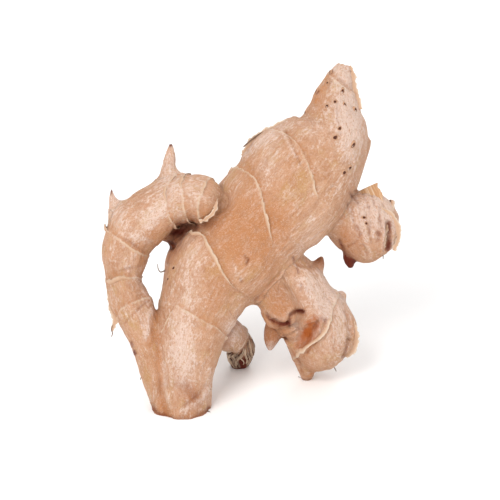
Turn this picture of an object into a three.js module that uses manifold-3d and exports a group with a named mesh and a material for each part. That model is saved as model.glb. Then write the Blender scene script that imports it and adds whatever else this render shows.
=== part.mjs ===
// A fresh ginger root: one knobbly rhizome that stands on its cut foot and leans back on two of its lobes.
// Units are millimetres, +Z up, and the front of the root faces -Y.
// Every limb is drawn in the plane of the hand, x to the right, y to the back and z up, and the whole
// hand is then leaned back about the x axis and set down on the floor.
// A limb is a row of oval sections along a curved spine. Its leaf scars are rings that run obliquely
// round it: below each ring the dry sheath stands a little proud, and above it the next joint begins.
import * as THREE from "three";
import { mergeVertices } from "three/addons/utils/BufferGeometryUtils.js";
import Module from "manifold-3d";

const LEAN_BACK_DEG = 25;
const FOOT_HEIGHT = 3.6; // height of the hand plane's zero level over the floor, once it is leaned back
const FRAME_SHIFT = { x: -6.4, y: -28.6 }; // brings the middle of the root's box over the origin
const FLOOR_BLOCK = 400; // side of the block that cuts the foot and the resting points flat

const SKIN = { color: 0xd9aa82, roughness: 0.72, metalness: 0 };

const FULL_TURN = Math.PI * 2;
const BACKWARDS = new THREE.Vector3(0, 1, 0);
const SPINE_DIVISIONS = 400;

const SHEATH_STEP = 0.5; // how far a sheath's edge stands over the joint above it
const LIP_LENGTH = 0.9; // length along the limb over which a sheath's edge drops
const TIP_REACH = 0.9; // angle in radians at which a sheath's tip has run out
const JOINT_STATIONS = [0.12, 0.4, 0.7, 1]; // shares of a joint at which it has a row of points

// Spines: x, y, z, half width across the hand, half depth through the hand.
// Rings: distance along the spine at the right, back, left and front, then the pointed tip of the
// sheath as its angle in degrees and its height. Angle 0 is the right, 90 the back, 270 the front.
const LIMBS = [
  {
    name: "main joint chain",
    sides: 36,
    uneven: 0.022,
    spine: [
      [-21.8, -0.4, -8, 12, 9.6],
      [-21.6, 0, 3.2, 11.8, 9.8],
      [-20.4, 0.4, 14.6, 11, 10.8],
      [-18.8, 0.8, 24.4, 11.8, 12.4],
      [-16.8, 1.2, 37.4, 15, 14.2],
      [-13.4, 1.2, 48.2, 17.4, 15.8],
      [-8.4, 1, 58.6, 21, 17],
      [-1, 0.4, 65.8, 21.2, 17.8],
      [4.6, 0, 73.6, 20.6, 18.2],
      [11.6, -0.6, 82, 21, 18.5],
      [18.6, -1, 88.4, 22.5, 18.5],
      [24.8, -0.8, 96.4, 22.8, 17.8],
      [31.4, 0.4, 103.8, 20.8, 16.2],
      [38.2, 1.8, 113.6, 16, 13.4],
      [39.8, 2.6, 122.4, 11.2, 10.6],
      [40.4, 3.2, 128.8, 8.3, 8.4],
      [41.6, 3.8, 134, 5.9, 6.2],
      [42.9, 4.2, 138, 4.5, 4.6],
      [43.9, 4.6, 141.4, 2.9, 3],
    ],
    rings: [
      [42, 44, 32, 47, 240, 9],
      [62, 72, 70, 73, 232, 3],
      [80, 98, 102, 101, 236, 2],
      [107, 122, 125, 123, 228, 2],
      [158, 160, 164, 161, 200, 1],
    ],
  },
  {
    name: "curled finger",
    sides: 22,
    uneven: 0.03,
    spine: [
      [-27, -0.8, -8, 6, 6.4],
      [-29.4, -1.2, 10.4, 6, 6.8],
      [-31.4, -1.8, 18.4, 5.8, 7.4],
      [-34.4, -2.4, 27.6, 5.8, 8],
      [-37.6, -3, 37.2, 7.4, 8.4],
      [-41.8, -3.4, 46.8, 8.1, 8.2],
      [-44, -3.8, 53.2, 7, 7.6],
      [-44.2, -4.2, 59.2, 8, 8],
      [-43.4, -4.6, 67.2, 9.6, 8.8],
      [-40.2, -5, 75.6, 11.2, 9.4],
      [-35, -5.6, 80, 10.6, 9.4],
      [-29, -6.8, 84.4, 10.6, 9.6],
      [-22, -8.6, 87.2, 9.9, 9.6],
      [-15, -11, 87.6, 9.6, 9.2],
      [-10.4, -12.6, 87, 8.4, 8.2],
      [-7.8, -13.4, 86.4, 6.2, 6.4],
      [-6.4, -13.8, 86, 3.4, 3.6],
    ],
    rings: [
      [36, 38, 40, 37, 200, 2],
      [55, 55, 52.6, 56.5, 240, 1],
      [67, 67, 66.4, 67.2, 270, 1],
      [77.5, 81, 84, 80.5, 0, 0],
      [104, 106, 108.5, 106, 200, 2],
      [114.5, 113, 113, 113.5, 270, 1],
      [121, 121, 121, 121, 90, 1],
    ],
  },
  {
    name: "neck of the lower lobe",
    sides: 18,
    uneven: 0.03,
    spine: [
      [8, 2, 60.6, 8.6, 8.6],
      [14.4, 3, 53.6, 7.6, 8.4],
      [17.6, 4.4, 46.6, 8.2, 8.4],
      [20.4, 6, 41.6, 8.4, 8],
      [21.6, 7, 39, 6.4, 6],
    ],
    rings: [],
  },
  {
    name: "lower lobe",
    sides: 26,
    uneven: 0.035,
    spine: [
      [15.6, 3, 61.6, 8.6, 8],
      [24.4, 6, 54.6, 9.8, 9.6],
      [29, 9.6, 46.4, 10.8, 11.2],
      [33.6, 13.6, 38.8, 12.9, 12.8],
      [35.4, 17, 32, 14.2, 13.2],
      [37.4, 20, 26.4, 12.4, 11.4],
      [39.4, 22, 23, 7.6, 7.4],
      [40.8, 23, 21, 3, 3],
    ],
    rings: [
      [13, 14, 15, 14, 300, 1],
      [24, 24, 25, 24, 20, 2],
      [36, 33, 31, 34, 350, 2],
      [43, 41, 40, 42, 300, 1],
    ],
  },
  {
    name: "upper lobe",
    sides: 22,
    uneven: 0.035,
    spine: [
      [37, 4, 84, 8, 8],
      [44.4, 6, 80.8, 11, 9.6],
      [50.4, 7, 78, 13.3, 11.6],
      [55.2, 8, 75.8, 13.9, 12.4],
      [59.6, 8.5, 74, 12, 11.2],
      [62.8, 9, 72.8, 7.8, 8],
      [64.8, 9.2, 72.2, 3.4, 3.4],
    ],
    rings: [
      [9, 10, 11, 10, 270, 1],
      [17, 17, 17, 16, 200, 1],
      [24.5, 24, 23.5, 24, 300, 1.5],
    ],
  },
  {
    name: "fibrous stub",
    sides: 18,
    uneven: 0.06,
    spine: [
      [-12, 2, 34, 7, 7],
      [-4.6, 12, 33.8, 6.8, 6.8],
      [-0.8, 19, 31.6, 5.8, 6],
      [0.8, 26, 28, 5.8, 5.4],
      [1.2, 31, 23.8, 5.2, 4.8],
      [1, 34.2, 19.8, 3.4, 3.6],
    ],
    rings: [[20, 22, 22, 21, 120, 2]],
  },
];

// Buds and free sheath tips: short pointed limbs, with the same spine columns and no rings.
const BUDS = [
  {
    name: "bud on top of the finger",
    spine: [
      [-27, -6.5, 89, 7, 5.6],
      [-26.4, -6, 96.4, 5.4, 4.4],
      [-26, -5.4, 101.6, 3.8, 3.2],
      [-25.8, -5, 106.4, 2.4, 2.1],
      [-25.5, -4.6, 110, 1, 1],
    ],
  },
  {
    name: "spike at the finger's bend",
    spine: [
      [-45.2, -5, 75, 6, 5],
      [-47.4, -5, 81, 4.4, 4],
      [-48.6, -5, 84.8, 3.2, 2.8],
      [-48.9, -4.8, 88.8, 1.8, 1.6],
      [-49.2, -4.5, 92.4, 0.6, 0.6],
    ],
  },
  {
    name: "shoulder behind the finger's tip",
    spine: [
      [-31, 0.6, 76, 5, 5],
      [-24, 1.2, 75.6, 7, 5.6],
      [-17, 1.6, 75, 8, 6.4],
      [-8, 2, 74, 8, 7],
    ],
  },
  {
    name: "resting tip of the lower lobe",
    spine: [
      [29, 13, 32, 9.4, 8.4],
      [28.8, 17.4, 25.4, 6.4, 6.4],
      [28.9, 20.8, 20, 4.2, 4.6],
      [29.1, 23.4, 16.4, 3, 3.2],
      [29.2, 25.2, 13.8, 1.9, 2],
    ],
  },
  {
    name: "small bud under the lower lobe",
    spine: [
      [19.6, 9.4, 41, 6, 5],
      [16, 11, 35.6, 4.6, 4],
      [14.4, 12.2, 30.4, 3.2, 3],
      [13.8, 13, 26.4, 1.1, 1.1],
    ],
  },
  {
    name: "first sheath tip on the lower lobe",
    spine: [
      [28, 7, 53, 7, 4.6],
      [31, 7.4, 58, 4.6, 2.8],
      [33.6, 8, 61.6, 2.4, 1.6],
      [35, 8.4, 64.4, 0.7, 0.7],
    ],
  },
  {
    name: "second sheath tip on the lower lobe",
    spine: [
      [37.6, 13.6, 42.6, 6.6, 5],
      [41, 14.2, 46.6, 4.2, 2.6],
      [43.2, 14.8, 49, 2.6, 1.5],
      [44.2, 15.2, 50.2, 1.6, 0.8],
    ],
  },
  {
    name: "torn sheath on the upper lobe",
    spine: [
      [56.4, 7.4, 84, 6.4, 5],
      [54.8, 6.6, 88.4, 4.6, 2.6],
      [53.5, 6, 92.2, 3.7, 1.2],
    ],
  },
  {
    name: "dark bud under the upper lobe",
    spine: [
      [48.6, 8.6, 72, 6, 5.4],
      [46.8, 9, 66.4, 3.9, 3.8],
      [46.4, 9.4, 62.8, 2.7, 2.6],
      [46.8, 9.8, 59.8, 1.2, 1.2],
    ],
  },
  {
    name: "sheath edge on the right shoulder",
    spine: [
      [45.4, 0.6, 92, 3.4, 8],
      [48.8, 1.2, 101, 2.8, 6.4],
      [52, 1.6, 107.6, 2, 3.8],
      [54, 2, 111.8, 0.9, 1.3],
    ],
  },
  {
    name: "margin beside the scoop of the lower lobe",
    spine: [
      [34.2, 2.8, 39, 0.7, 1.2],
      [32.6, 3.8, 35.4, 1, 1.9],
      [30.6, 5.2, 31.6, 1, 1.9],
      [28.2, 7.6, 28.4, 0.9, 1.9],
      [25.4, 10.6, 25.6, 0.6, 1.2],
    ],
  },
  {
    name: "web beside the small bud",
    spine: [
      [17, 11, 38.4, 2.6, 3],
      [19.8, 11.4, 36, 2.6, 3],
      [23, 12.4, 34.4, 2.8, 3.2],
      [26, 13.4, 33.6, 2.6, 3],
    ],
  },
  {
    name: "scar of a lobe broken off the back",
    spine: [
      [2, 4, 64, 10, 9],
      [6, 12, 70, 11, 10],
      [8.4, 17.6, 75, 9.6, 8.6],
      [9.4, 20.4, 77.6, 6.8, 6],
    ],
  },
];

// Hollows, cut out of the root: a scoop and two gaps under dried sheath edges.
const HOLLOWS = [
  {
    name: "scoop in the lower lobe",
    spine: [
      [33.4, 2, 39.4, 0.8, 1],
      [31.6, 2.6, 36.6, 2.2, 1.8],
      [29.2, 4, 33.4, 3, 2.4],
      [27.2, 6, 30.8, 2.4, 2.2],
      [25.6, 8.2, 28.6, 0.8, 1.2],
    ],
  },
  {
    name: "gap at the lower lobe's right edge",
    spine: [
      [44.2, 8, 42.4, 0.5, 1],
      [46, 9.4, 38, 0.9, 2],
      [46.4, 10.6, 33, 1.2, 2.4],
      [44.8, 11, 28.4, 0.6, 1.2],
    ],
  },
  {
    name: "gap at the upper lobe's end",
    spine: [
      [60.6, -0.8, 78.8, 0.5, 1],
      [61.2, -1.6, 75.2, 0.9, 2.4],
      [61, -1.4, 70.6, 1.3, 3],
      [60, 0.6, 66.4, 0.6, 1.4],
    ],
  },
];

// Pits, cut out of the fibrous stub: x, y, z, radius.
const PITS = [
  [1.8, 17.4, 26, 1.5],
  [4.2, 22.6, 27.6, 1.3],
  [1.4, 24.6, 23.2, 1.5],
  [4, 27.8, 21.4, 1.1],
  [-3.2, 26.6, 24.8, 1.4],
];
const BUD_SIDES = 14;
const BUD_STATIONS = 8;

// Root stubs: short pegs where roots broke off the main chain.
const ROOT_STUB = { proud: 0.7, sunk: 2.5, sides: 6, taper: 0.8 };
// The ones on the front: x and z in the hand's plane, and radius.
const FRONT_STUBS = [
  [38.4, 138, 0.8],
  [37.2, 133, 0.7],
  [33.2, 130.2, 0.7],
  [42.6, 129.6, 1.3],
  [36.6, 123.4, 0.8],
  [39.8, 125.2, 0.7],
  [43.4, 124, 0.8],
  [48, 122.4, 0.9],
  [28.6, 121.6, 0.7],
  [41, 114.2, 0.8],
  [38.8, 110.4, 1],
  [45.6, 108, 1.1],
  [44.4, 98.8, 0.9],
  [42, 96.8, 0.9],
  [9.4, 68, 0.7],
  [-24.4, 60.4, 0.7],
];
// The ones on the back wind round the upper joints.
const BACK_STUBS = { count: 9, from: 112, spacing: 5, first: 0.5, turn: 0.9, reach: 2.2, radius: 0.9 };

const wasm = await Module();
wasm.setup();

// The hand leaned back and set down, as one matrix from the hand's plane to the part's frame.
const stance = new THREE.Matrix4()
  .makeTranslation(FRAME_SHIFT.x, FRAME_SHIFT.y, -FOOT_HEIGHT)
  .multiply(
    new THREE.Matrix4().makeRotationX(-THREE.MathUtils.degToRad(LEAN_BACK_DEG)),
  );

// A limb's spine and its sizes as two curves that share one parameter.
function spineOf(limb) {
  const centre = new THREE.CatmullRomCurve3(
    limb.spine.map(([x, y, z]) => new THREE.Vector3(x, y, z)),
    false,
    "catmullrom",
  );
  centre.arcLengthDivisions = SPINE_DIVISIONS;
  const sizes = new THREE.CatmullRomCurve3(
    limb.spine.map(([, , , width, depth]) => new THREE.Vector3(width, depth, 0)),
    false,
    "catmullrom",
  );
  return { centre, sizes, length: centre.getLength() };
}

// The share of its radius by which a limb is uneven at a distance along it and an angle round it.
function unevenness(amount, along, angle) {
  return (
    amount *
    (Math.sin(2 * angle + along / 13) +
      0.7 * Math.sin(3 * angle - along / 9 + 1.3) +
      0.5 * Math.sin(5 * angle + along / 5 + 4.1))
  );
}

// The point of a limb's surface at a distance along it and an angle round it, raised by some millimetres.
function surfacePoint(limb, spine, along, angle, raised) {
  const share = THREE.MathUtils.clamp(along / spine.length, 0, 1);
  const t = spine.centre.getUtoTmapping(share);
  const middle = spine.centre.getPoint(t);
  const tangent = spine.centre.getTangent(t);
  const sideways = new THREE.Vector3().crossVectors(BACKWARDS, tangent).normalize();
  const through = new THREE.Vector3().crossVectors(tangent, sideways);
  const size = spine.sizes.getPoint(t);
  const swell = 1 + unevenness(limb.uneven ?? 0, along, angle);
  return middle
    .addScaledVector(sideways, Math.cos(angle) * (size.x * swell + raised))
    .addScaledVector(through, Math.sin(angle) * (size.y * swell + raised));
}

// How far along the spine a ring lies at an angle: a smooth curve through its right, back, left and
// front distances, with a pointed tip added where the sheath's leaf once stood.
function ringAt([right, back, left, front, tipDegrees, tipHeight], angle) {
  const mean = (right + back + left + front) / 4;
  const skew = (right - left) / 2;
  const tilt = (back - front) / 2;
  const pinch = (right + left - back - front) / 4;
  const fromTip = Math.acos(Math.cos(angle - THREE.MathUtils.degToRad(tipDegrees)));
  const tip = tipHeight * Math.max(0, 1 - fromTip / TIP_REACH) ** 1.5;
  return (
    mean +
    skew * Math.cos(angle) +
    tilt * Math.sin(angle) +
    pinch * Math.cos(2 * angle) +
    tip
  );
}

// The rows of points of a ringed limb: each row gives its distance along the spine at an angle, and
// how far the sheath stands proud there.
function rowsOf(limb, length) {
  const edges = [
    () => 0,
    ...(limb.rings ?? []).map((ring) => (angle) => ringAt(ring, angle)),
    () => length,
  ];
  const rows = [{ along: edges[0], proud: 0 }];
  for (let joint = 1; joint < edges.length; joint++) {
    const from = edges[joint - 1];
    const to = edges[joint];
    for (const share of JOINT_STATIONS) {
      const isLast = joint === edges.length - 1;
      rows.push({
        along: (angle) => {
          const start = from(angle) + (joint > 1 ? LIP_LENGTH : 0);
          return start + (to(angle) - start) * share;
        },
        proud: isLast ? 0 : SHEATH_STEP * share,
      });
    }
    if (joint < edges.length - 1)
      rows.push({ along: (angle) => to(angle) + LIP_LENGTH, proud: 0 });
  }
  return rows;
}

// Evenly spaced rows for a limb without rings.
function plainRows(length, count) {
  return Array.from({ length: count + 1 }, (_, i) => ({
    along: () => (length * i) / count,
    proud: 0,
  }));
}

// A closed skin over rows of points, with a fan of triangles at either end.
function skin(limb, rows, spine, sides) {
  const points = [];
  const faces = [];
  for (const row of rows)
    for (let side = 0; side < sides; side++) {
      const angle = (FULL_TURN * side) / sides;
      points.push(surfacePoint(limb, spine, row.along(angle), angle, row.proud));
    }
  for (let row = 0; row < rows.length - 1; row++)
    for (let side = 0; side < sides; side++) {
      const next = (side + 1) % sides;
      const [a, b] = [row * sides + side, row * sides + next];
      const [c, d] = [b + sides, a + sides];
      faces.push(a, b, c, a, c, d);
    }
  const start = points.push(spine.centre.getPoint(0)) - 1;
  const end = points.push(spine.centre.getPoint(1)) - 1;
  const top = (rows.length - 1) * sides;
  for (let side = 0; side < sides; side++) {
    const next = (side + 1) % sides;
    faces.push(start, next, side, end, top + side, top + next);
  }
  const geometry = new THREE.BufferGeometry().setFromPoints(points);
  geometry.setIndex(faces);
  return geometry.applyMatrix4(stance);
}

// A closed geometry as a solid that can be joined and cut.
function solidFrom(geometry) {
  const bare = new THREE.BufferGeometry();
  bare.setAttribute("position", geometry.getAttribute("position"));
  bare.setIndex(geometry.index);
  const merged = mergeVertices(bare, 1e-4);
  return new wasm.Manifold(
    new wasm.Mesh({
      numProp: 3,
      vertProperties: merged.attributes.position.array,
      triVerts: new Uint32Array(merged.index.array),
    }),
  );
}

function ringedLimb(limb) {
  const spine = spineOf(limb);
  return solidFrom(skin(limb, rowsOf(limb, spine.length), spine, limb.sides));
}

function bud(limb) {
  const spine = spineOf(limb);
  return solidFrom(skin(limb, plainRows(spine.length, BUD_STATIONS), spine, BUD_SIDES));
}

// Where a limb's front surface lies behind a point of the hand's plane: distance and angle.
function placeOnFront(limb, spine, x, z) {
  let nearest = { off: Infinity };
  for (let step = 0; step <= SPINE_DIVISIONS; step++) {
    const share = step / SPINE_DIVISIONS;
    const point = spine.centre.getPointAt(share);
    const off = Math.hypot(x - point.x, z - point.z);
    if (off < nearest.off) nearest = { off, share, point };
  }
  const tangent = spine.centre.getTangentAt(nearest.share);
  const across = (x - nearest.point.x) * tangent.z - (z - nearest.point.z) * tangent.x;
  const width = spine.sizes.getPoint(spine.centre.getUtoTmapping(nearest.share)).x;
  const side = THREE.MathUtils.clamp(across / width, -1, 1);
  return { along: nearest.share * spine.length, angle: FULL_TURN - Math.acos(side) };
}

// One root stub: a peg that stands out of a limb's surface, slightly narrower at its top.
function rootStub(limb, spine, { along, angle, radius }) {
  const foot = surfacePoint(limb, spine, along, angle, -ROOT_STUB.sunk);
  const top = surfacePoint(limb, spine, along, angle, SHEATH_STEP + ROOT_STUB.proud);
  const outwards = top.clone().sub(foot);
  const peg = new THREE.CylinderGeometry(
    radius * ROOT_STUB.taper,
    radius,
    outwards.length(),
    ROOT_STUB.sides,
  );
  const upright = new THREE.Vector3(0, 1, 0);
  peg.applyQuaternion(
    new THREE.Quaternion().setFromUnitVectors(upright, outwards.clone().normalize()),
  );
  peg.translate(...foot.add(top).multiplyScalar(0.5).toArray());
  return solidFrom(peg.applyMatrix4(stance));
}

// All root stubs of the main chain.
function rootStubs() {
  const limb = LIMBS[0];
  const spine = spineOf(limb);
  const front = FRONT_STUBS.map(([x, z, radius]) => ({
    ...placeOnFront(limb, spine, x, z),
    radius,
  }));
  const { count, from, spacing, first, turn, reach, radius } = BACK_STUBS;
  const back = Array.from({ length: count }, (_, i) => ({
    along: from + i * spacing,
    angle: first + ((i * turn) % reach),
    radius,
  }));
  return [...front, ...back].map((place) => rootStub(limb, spine, place));
}

// A pit as a ball that is cut away.
function pit([x, y, z, radius]) {
  const ball = new THREE.SphereGeometry(radius, 8, 6).translate(x, y, z);
  return solidFrom(ball.applyMatrix4(stance));
}

// Everything below the floor, as a block whose top face is the floor.
function floorBlock() {
  const block = new THREE.BoxGeometry(FLOOR_BLOCK, FLOOR_BLOCK, FLOOR_BLOCK);
  return solidFrom(block.translate(0, 0, -FLOOR_BLOCK / 2));
}

function rhizomeGeometry() {
  const limbs = [...LIMBS.map(ringedLimb), ...BUDS.map(bud), ...rootStubs()];
  const cuts = [...HOLLOWS.map(bud), ...PITS.map(pit), floorBlock()];
  const joined = limbs.reduce((sum, limb) => sum.add(limb));
  const whole = cuts.reduce((rest, cut) => rest.subtract(cut), joined);
  const mesh = whole.getMesh();
  const geometry = new THREE.BufferGeometry();
  geometry.setAttribute("position", new THREE.BufferAttribute(mesh.vertProperties, 3));
  geometry.setIndex(new THREE.BufferAttribute(mesh.triVerts, 1));
  geometry.computeVertexNormals();
  return geometry;
}

const rhizome = new THREE.Mesh(rhizomeGeometry(), new THREE.MeshStandardMaterial(SKIN));
rhizome.name = "rhizome";

const ginger = new THREE.Group();
ginger.add(rhizome);

export default ginger;
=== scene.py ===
"""A fresh ginger root in a soft studio, with leaf scars, papery sheath edges, root scars and fibres.

The root is drawn in the plane of the hand in millimetres, x to the right, y to the back and z up. The hand is
then leaned back about the x axis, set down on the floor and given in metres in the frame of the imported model.
"""

import logging
import math
from dataclasses import dataclass
from enum import Enum
from functools import cached_property
from typing import Any, Sequence

import bmesh
import bpy
import numpy as np
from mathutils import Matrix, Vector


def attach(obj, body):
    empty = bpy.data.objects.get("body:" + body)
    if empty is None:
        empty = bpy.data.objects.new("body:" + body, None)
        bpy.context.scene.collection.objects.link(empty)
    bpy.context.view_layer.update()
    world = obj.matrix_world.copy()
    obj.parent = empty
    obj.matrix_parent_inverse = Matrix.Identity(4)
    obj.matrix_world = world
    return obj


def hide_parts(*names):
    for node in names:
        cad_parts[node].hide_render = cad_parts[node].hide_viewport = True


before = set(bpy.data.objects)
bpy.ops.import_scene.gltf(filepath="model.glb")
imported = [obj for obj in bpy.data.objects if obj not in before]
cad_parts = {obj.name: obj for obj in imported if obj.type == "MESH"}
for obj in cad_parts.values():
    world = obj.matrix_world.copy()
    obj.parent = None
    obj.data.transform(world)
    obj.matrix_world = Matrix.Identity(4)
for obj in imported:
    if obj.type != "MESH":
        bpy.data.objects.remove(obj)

log = logging.getLogger("ginger")

Array = np.ndarray
Numbers = tuple[float, ...]
Rows = tuple[Numbers, ...]

MM = 0.001
FULL_TURN = 2 * math.pi

# How far a sheath stands out at its scar, how far past it that fades, and how much it bulges, in mm.
SHEATH_STEP = 0.5
LIP_LENGTH = 0.9
BULGE = 0.35
# How far its edge curls up below the scar, over what length, in mm, and what a healed scar keeps of the step.
CURL = 0.12
CURL_REACH = 0.8
HEALED_SHARE = 0.6
# How far round the limb a sheath's tip reaches, as an angle.
TIP_REACH = 0.9
SPINE_DIVISIONS = 400
# Surface colour as a share of what it looks like in the studio's light.
LIT_SHARE = 0.72


def skin_tone(red: int, green: int, blue: int) -> Numbers:
    """Turns a screen colour into the linear surface colour that looks like it in the studio's bright light.

    Args:
        red: Red on the screen, from 0 to 255.
        green: Green on the screen.
        blue: Blue on the screen.

    Returns:
        The linear colour with full alpha.
    """
    screen = np.array([red, green, blue]) / 255
    linear = np.where(screen <= 0.04045, screen / 12.92, ((screen + 0.055) / 1.055) ** 2.4)
    return (*(float(part) * LIT_SHARE for part in linear), 1.0)


def bell(distance: Array) -> Array:
    """Returns the bell curve, e to the power of minus the distance squared."""
    return np.exp(-(distance**2))


def ramp(value: Array, low: float, high: float) -> Array:
    """Returns a smooth rise from 0 at low to 1 at high: 3 s^2 - 2 s^3 of the share s between them."""
    share = np.clip((value - low) / (high - low), 0, 1)
    return share * share * (3 - 2 * share)


def unit(vectors: Array) -> Array:
    """Returns the vectors in the last axis, each with a length of 1."""
    return vectors / np.linalg.norm(vectors, axis=-1, keepdims=True)


def dots(first: Array, second: Array) -> Array:
    """Returns the dot product of each pair of rows."""
    return (first * second).sum(axis=1)


def turns(count: int) -> Array:
    """Returns even steps round a full turn."""
    return np.arange(count) * FULL_TURN / count


def turn_from(angle: Array, degrees: float) -> Array:
    """Returns how far angles are from one that is given in degrees, either way round."""
    return np.arccos(np.clip(np.cos(angle - math.radians(degrees)), -1, 1))


def on_straight(angle: Array, radius: Array, along: Array) -> Array:
    """Returns places on a straight limb: cos and sin of the angle times the radius, and along."""
    return np.column_stack([np.cos(angle) * radius, np.sin(angle) * radius, along])


@dataclass(frozen=True)
class Stance:
    """How the hand of ginger stands: leaned back, dropped to the floor and centred.

    Args:
        lean_deg: Lean about the x axis, backwards.
        shift: Move after the lean, in mm.
    """

    lean_deg: float = 25.0
    shift: Numbers = (-6.4, -28.6, -3.6)

    def turn(self) -> Array:
        """Returns the matrix that leans a column vector of the hand back."""
        cosine, sine = math.cos(math.radians(self.lean_deg)), math.sin(math.radians(self.lean_deg))
        return np.array([[1, 0, 0], [0, cosine, sine], [0, -sine, cosine]])

    def to_row(self, hand: Array) -> Array:
        """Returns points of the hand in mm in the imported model's frame, in metres."""
        return (hand @ self.turn().T + self.shift) * MM

    def to_hand(self, row: Array) -> Array:
        """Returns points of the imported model's frame, in metres, in the plane of the hand in mm."""
        return (row / MM - self.shift) @ self.turn()


STANCE = Stance()


class Lattice:
    """Smooth noise between -1 and 1, from a repeating block of seeded random numbers."""

    SIZE = 32

    def __init__(self, seed: int) -> None:
        """Fills the block from the seed."""
        self.block = np.random.default_rng(seed).random((self.SIZE,) * 3) * 2 - 1

    def at(self, points: Array, per_mm: float) -> Array:
        """Mixes the eight numbers round each point by 3 s^2 - 2 s^3 of its place in the cell.

        Args:
            points: Points in mm, one a row.
            per_mm: Cells of the block to one mm.

        Returns:
            The noise at each point.
        """
        place = points * per_mm
        cell = np.floor(place).astype(int)
        inside = place - cell
        inside = inside * inside * (3 - 2 * inside)
        total = np.zeros(len(points))
        for corner in np.ndindex(2, 2, 2):
            index = (cell + corner) % self.SIZE
            share = np.prod(np.where(corner, inside, 1 - inside), axis=1)
            total += share * self.block[index[:, 0], index[:, 1], index[:, 2]]
        return total


class Spine:
    """A limb's middle line with its half width and half depth, read by the distance along it."""

    def __init__(self, rows: Sequence[Sequence[float]]) -> None:
        """Draws the curve through the rows and measures it.

        A point between rows 1 and 2 is the cubic whose ends are the rows and whose slopes there are half the
        difference of each row's neighbours. Beyond either end the curve goes on as far as its last two rows.

        Args:
            rows: Rows of x, y, z, half width and half depth in mm.
        """
        table = np.array(rows, dtype=float)
        padded = np.vstack([2 * table[0] - table[1], table, 2 * table[-1] - table[-2]])
        place = np.linspace(0, len(table) - 1, SPINE_DIVISIONS + 1)
        cell = np.minimum(place.astype(int), len(table) - 2)
        share = (place - cell)[:, None]
        before, start, end, after = (padded[cell + step] for step in range(4))
        slope_in, slope_out = (end - before) / 2, (after - start) / 2
        square = -3 * start + 3 * end - 2 * slope_in - slope_out
        cube = 2 * start - 2 * end + slope_in + slope_out
        self.values = start + slope_in * share + square * share**2 + cube * share**3
        steps = np.linalg.norm(np.diff(self.values[:, :3], axis=0), axis=1)
        self.along = np.concatenate([[0.0], np.cumsum(steps)])
        self.length = float(self.along[-1])
        self.tangents = unit(np.gradient(self.values[:, :3], self.along, axis=0))

    def read(self, table: Array, along: Array) -> Array:
        """Returns the rows of a table that is kept by distance, at distances of any shape, in a last axis."""
        return np.stack([np.interp(along, self.along, column) for column in table.T], axis=-1)

    def sections(self, along: Array) -> tuple[Array, Array, Array, Array]:
        """Gives the sections at some distances.

        The sideways direction is square to the tangent and to the line that runs to the back, and the third
        direction is square to both.

        Args:
            along: Distances in mm.

        Returns:
            Middle, half width and half depth; tangents; sideways directions; directions through the limb.
        """
        tangent = unit(self.read(self.tangents, along))
        sideways = unit(np.cross(np.array([0.0, 1.0, 0.0]), tangent))
        return self.read(self.values, along), tangent, sideways, np.cross(tangent, sideways)


@dataclass(frozen=True)
class Place:
    """Where points lie on a limb.

    Args:
        along: Distance along the spine, in mm.
        angle: Angle round it: 0 the right, a quarter the back, three quarters the front.
        off: Height over the limb's skin, in mm.
        radius: The limb's radius at the angle, in mm.
    """

    along: Array
    angle: Array
    off: Array
    radius: Array


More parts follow.
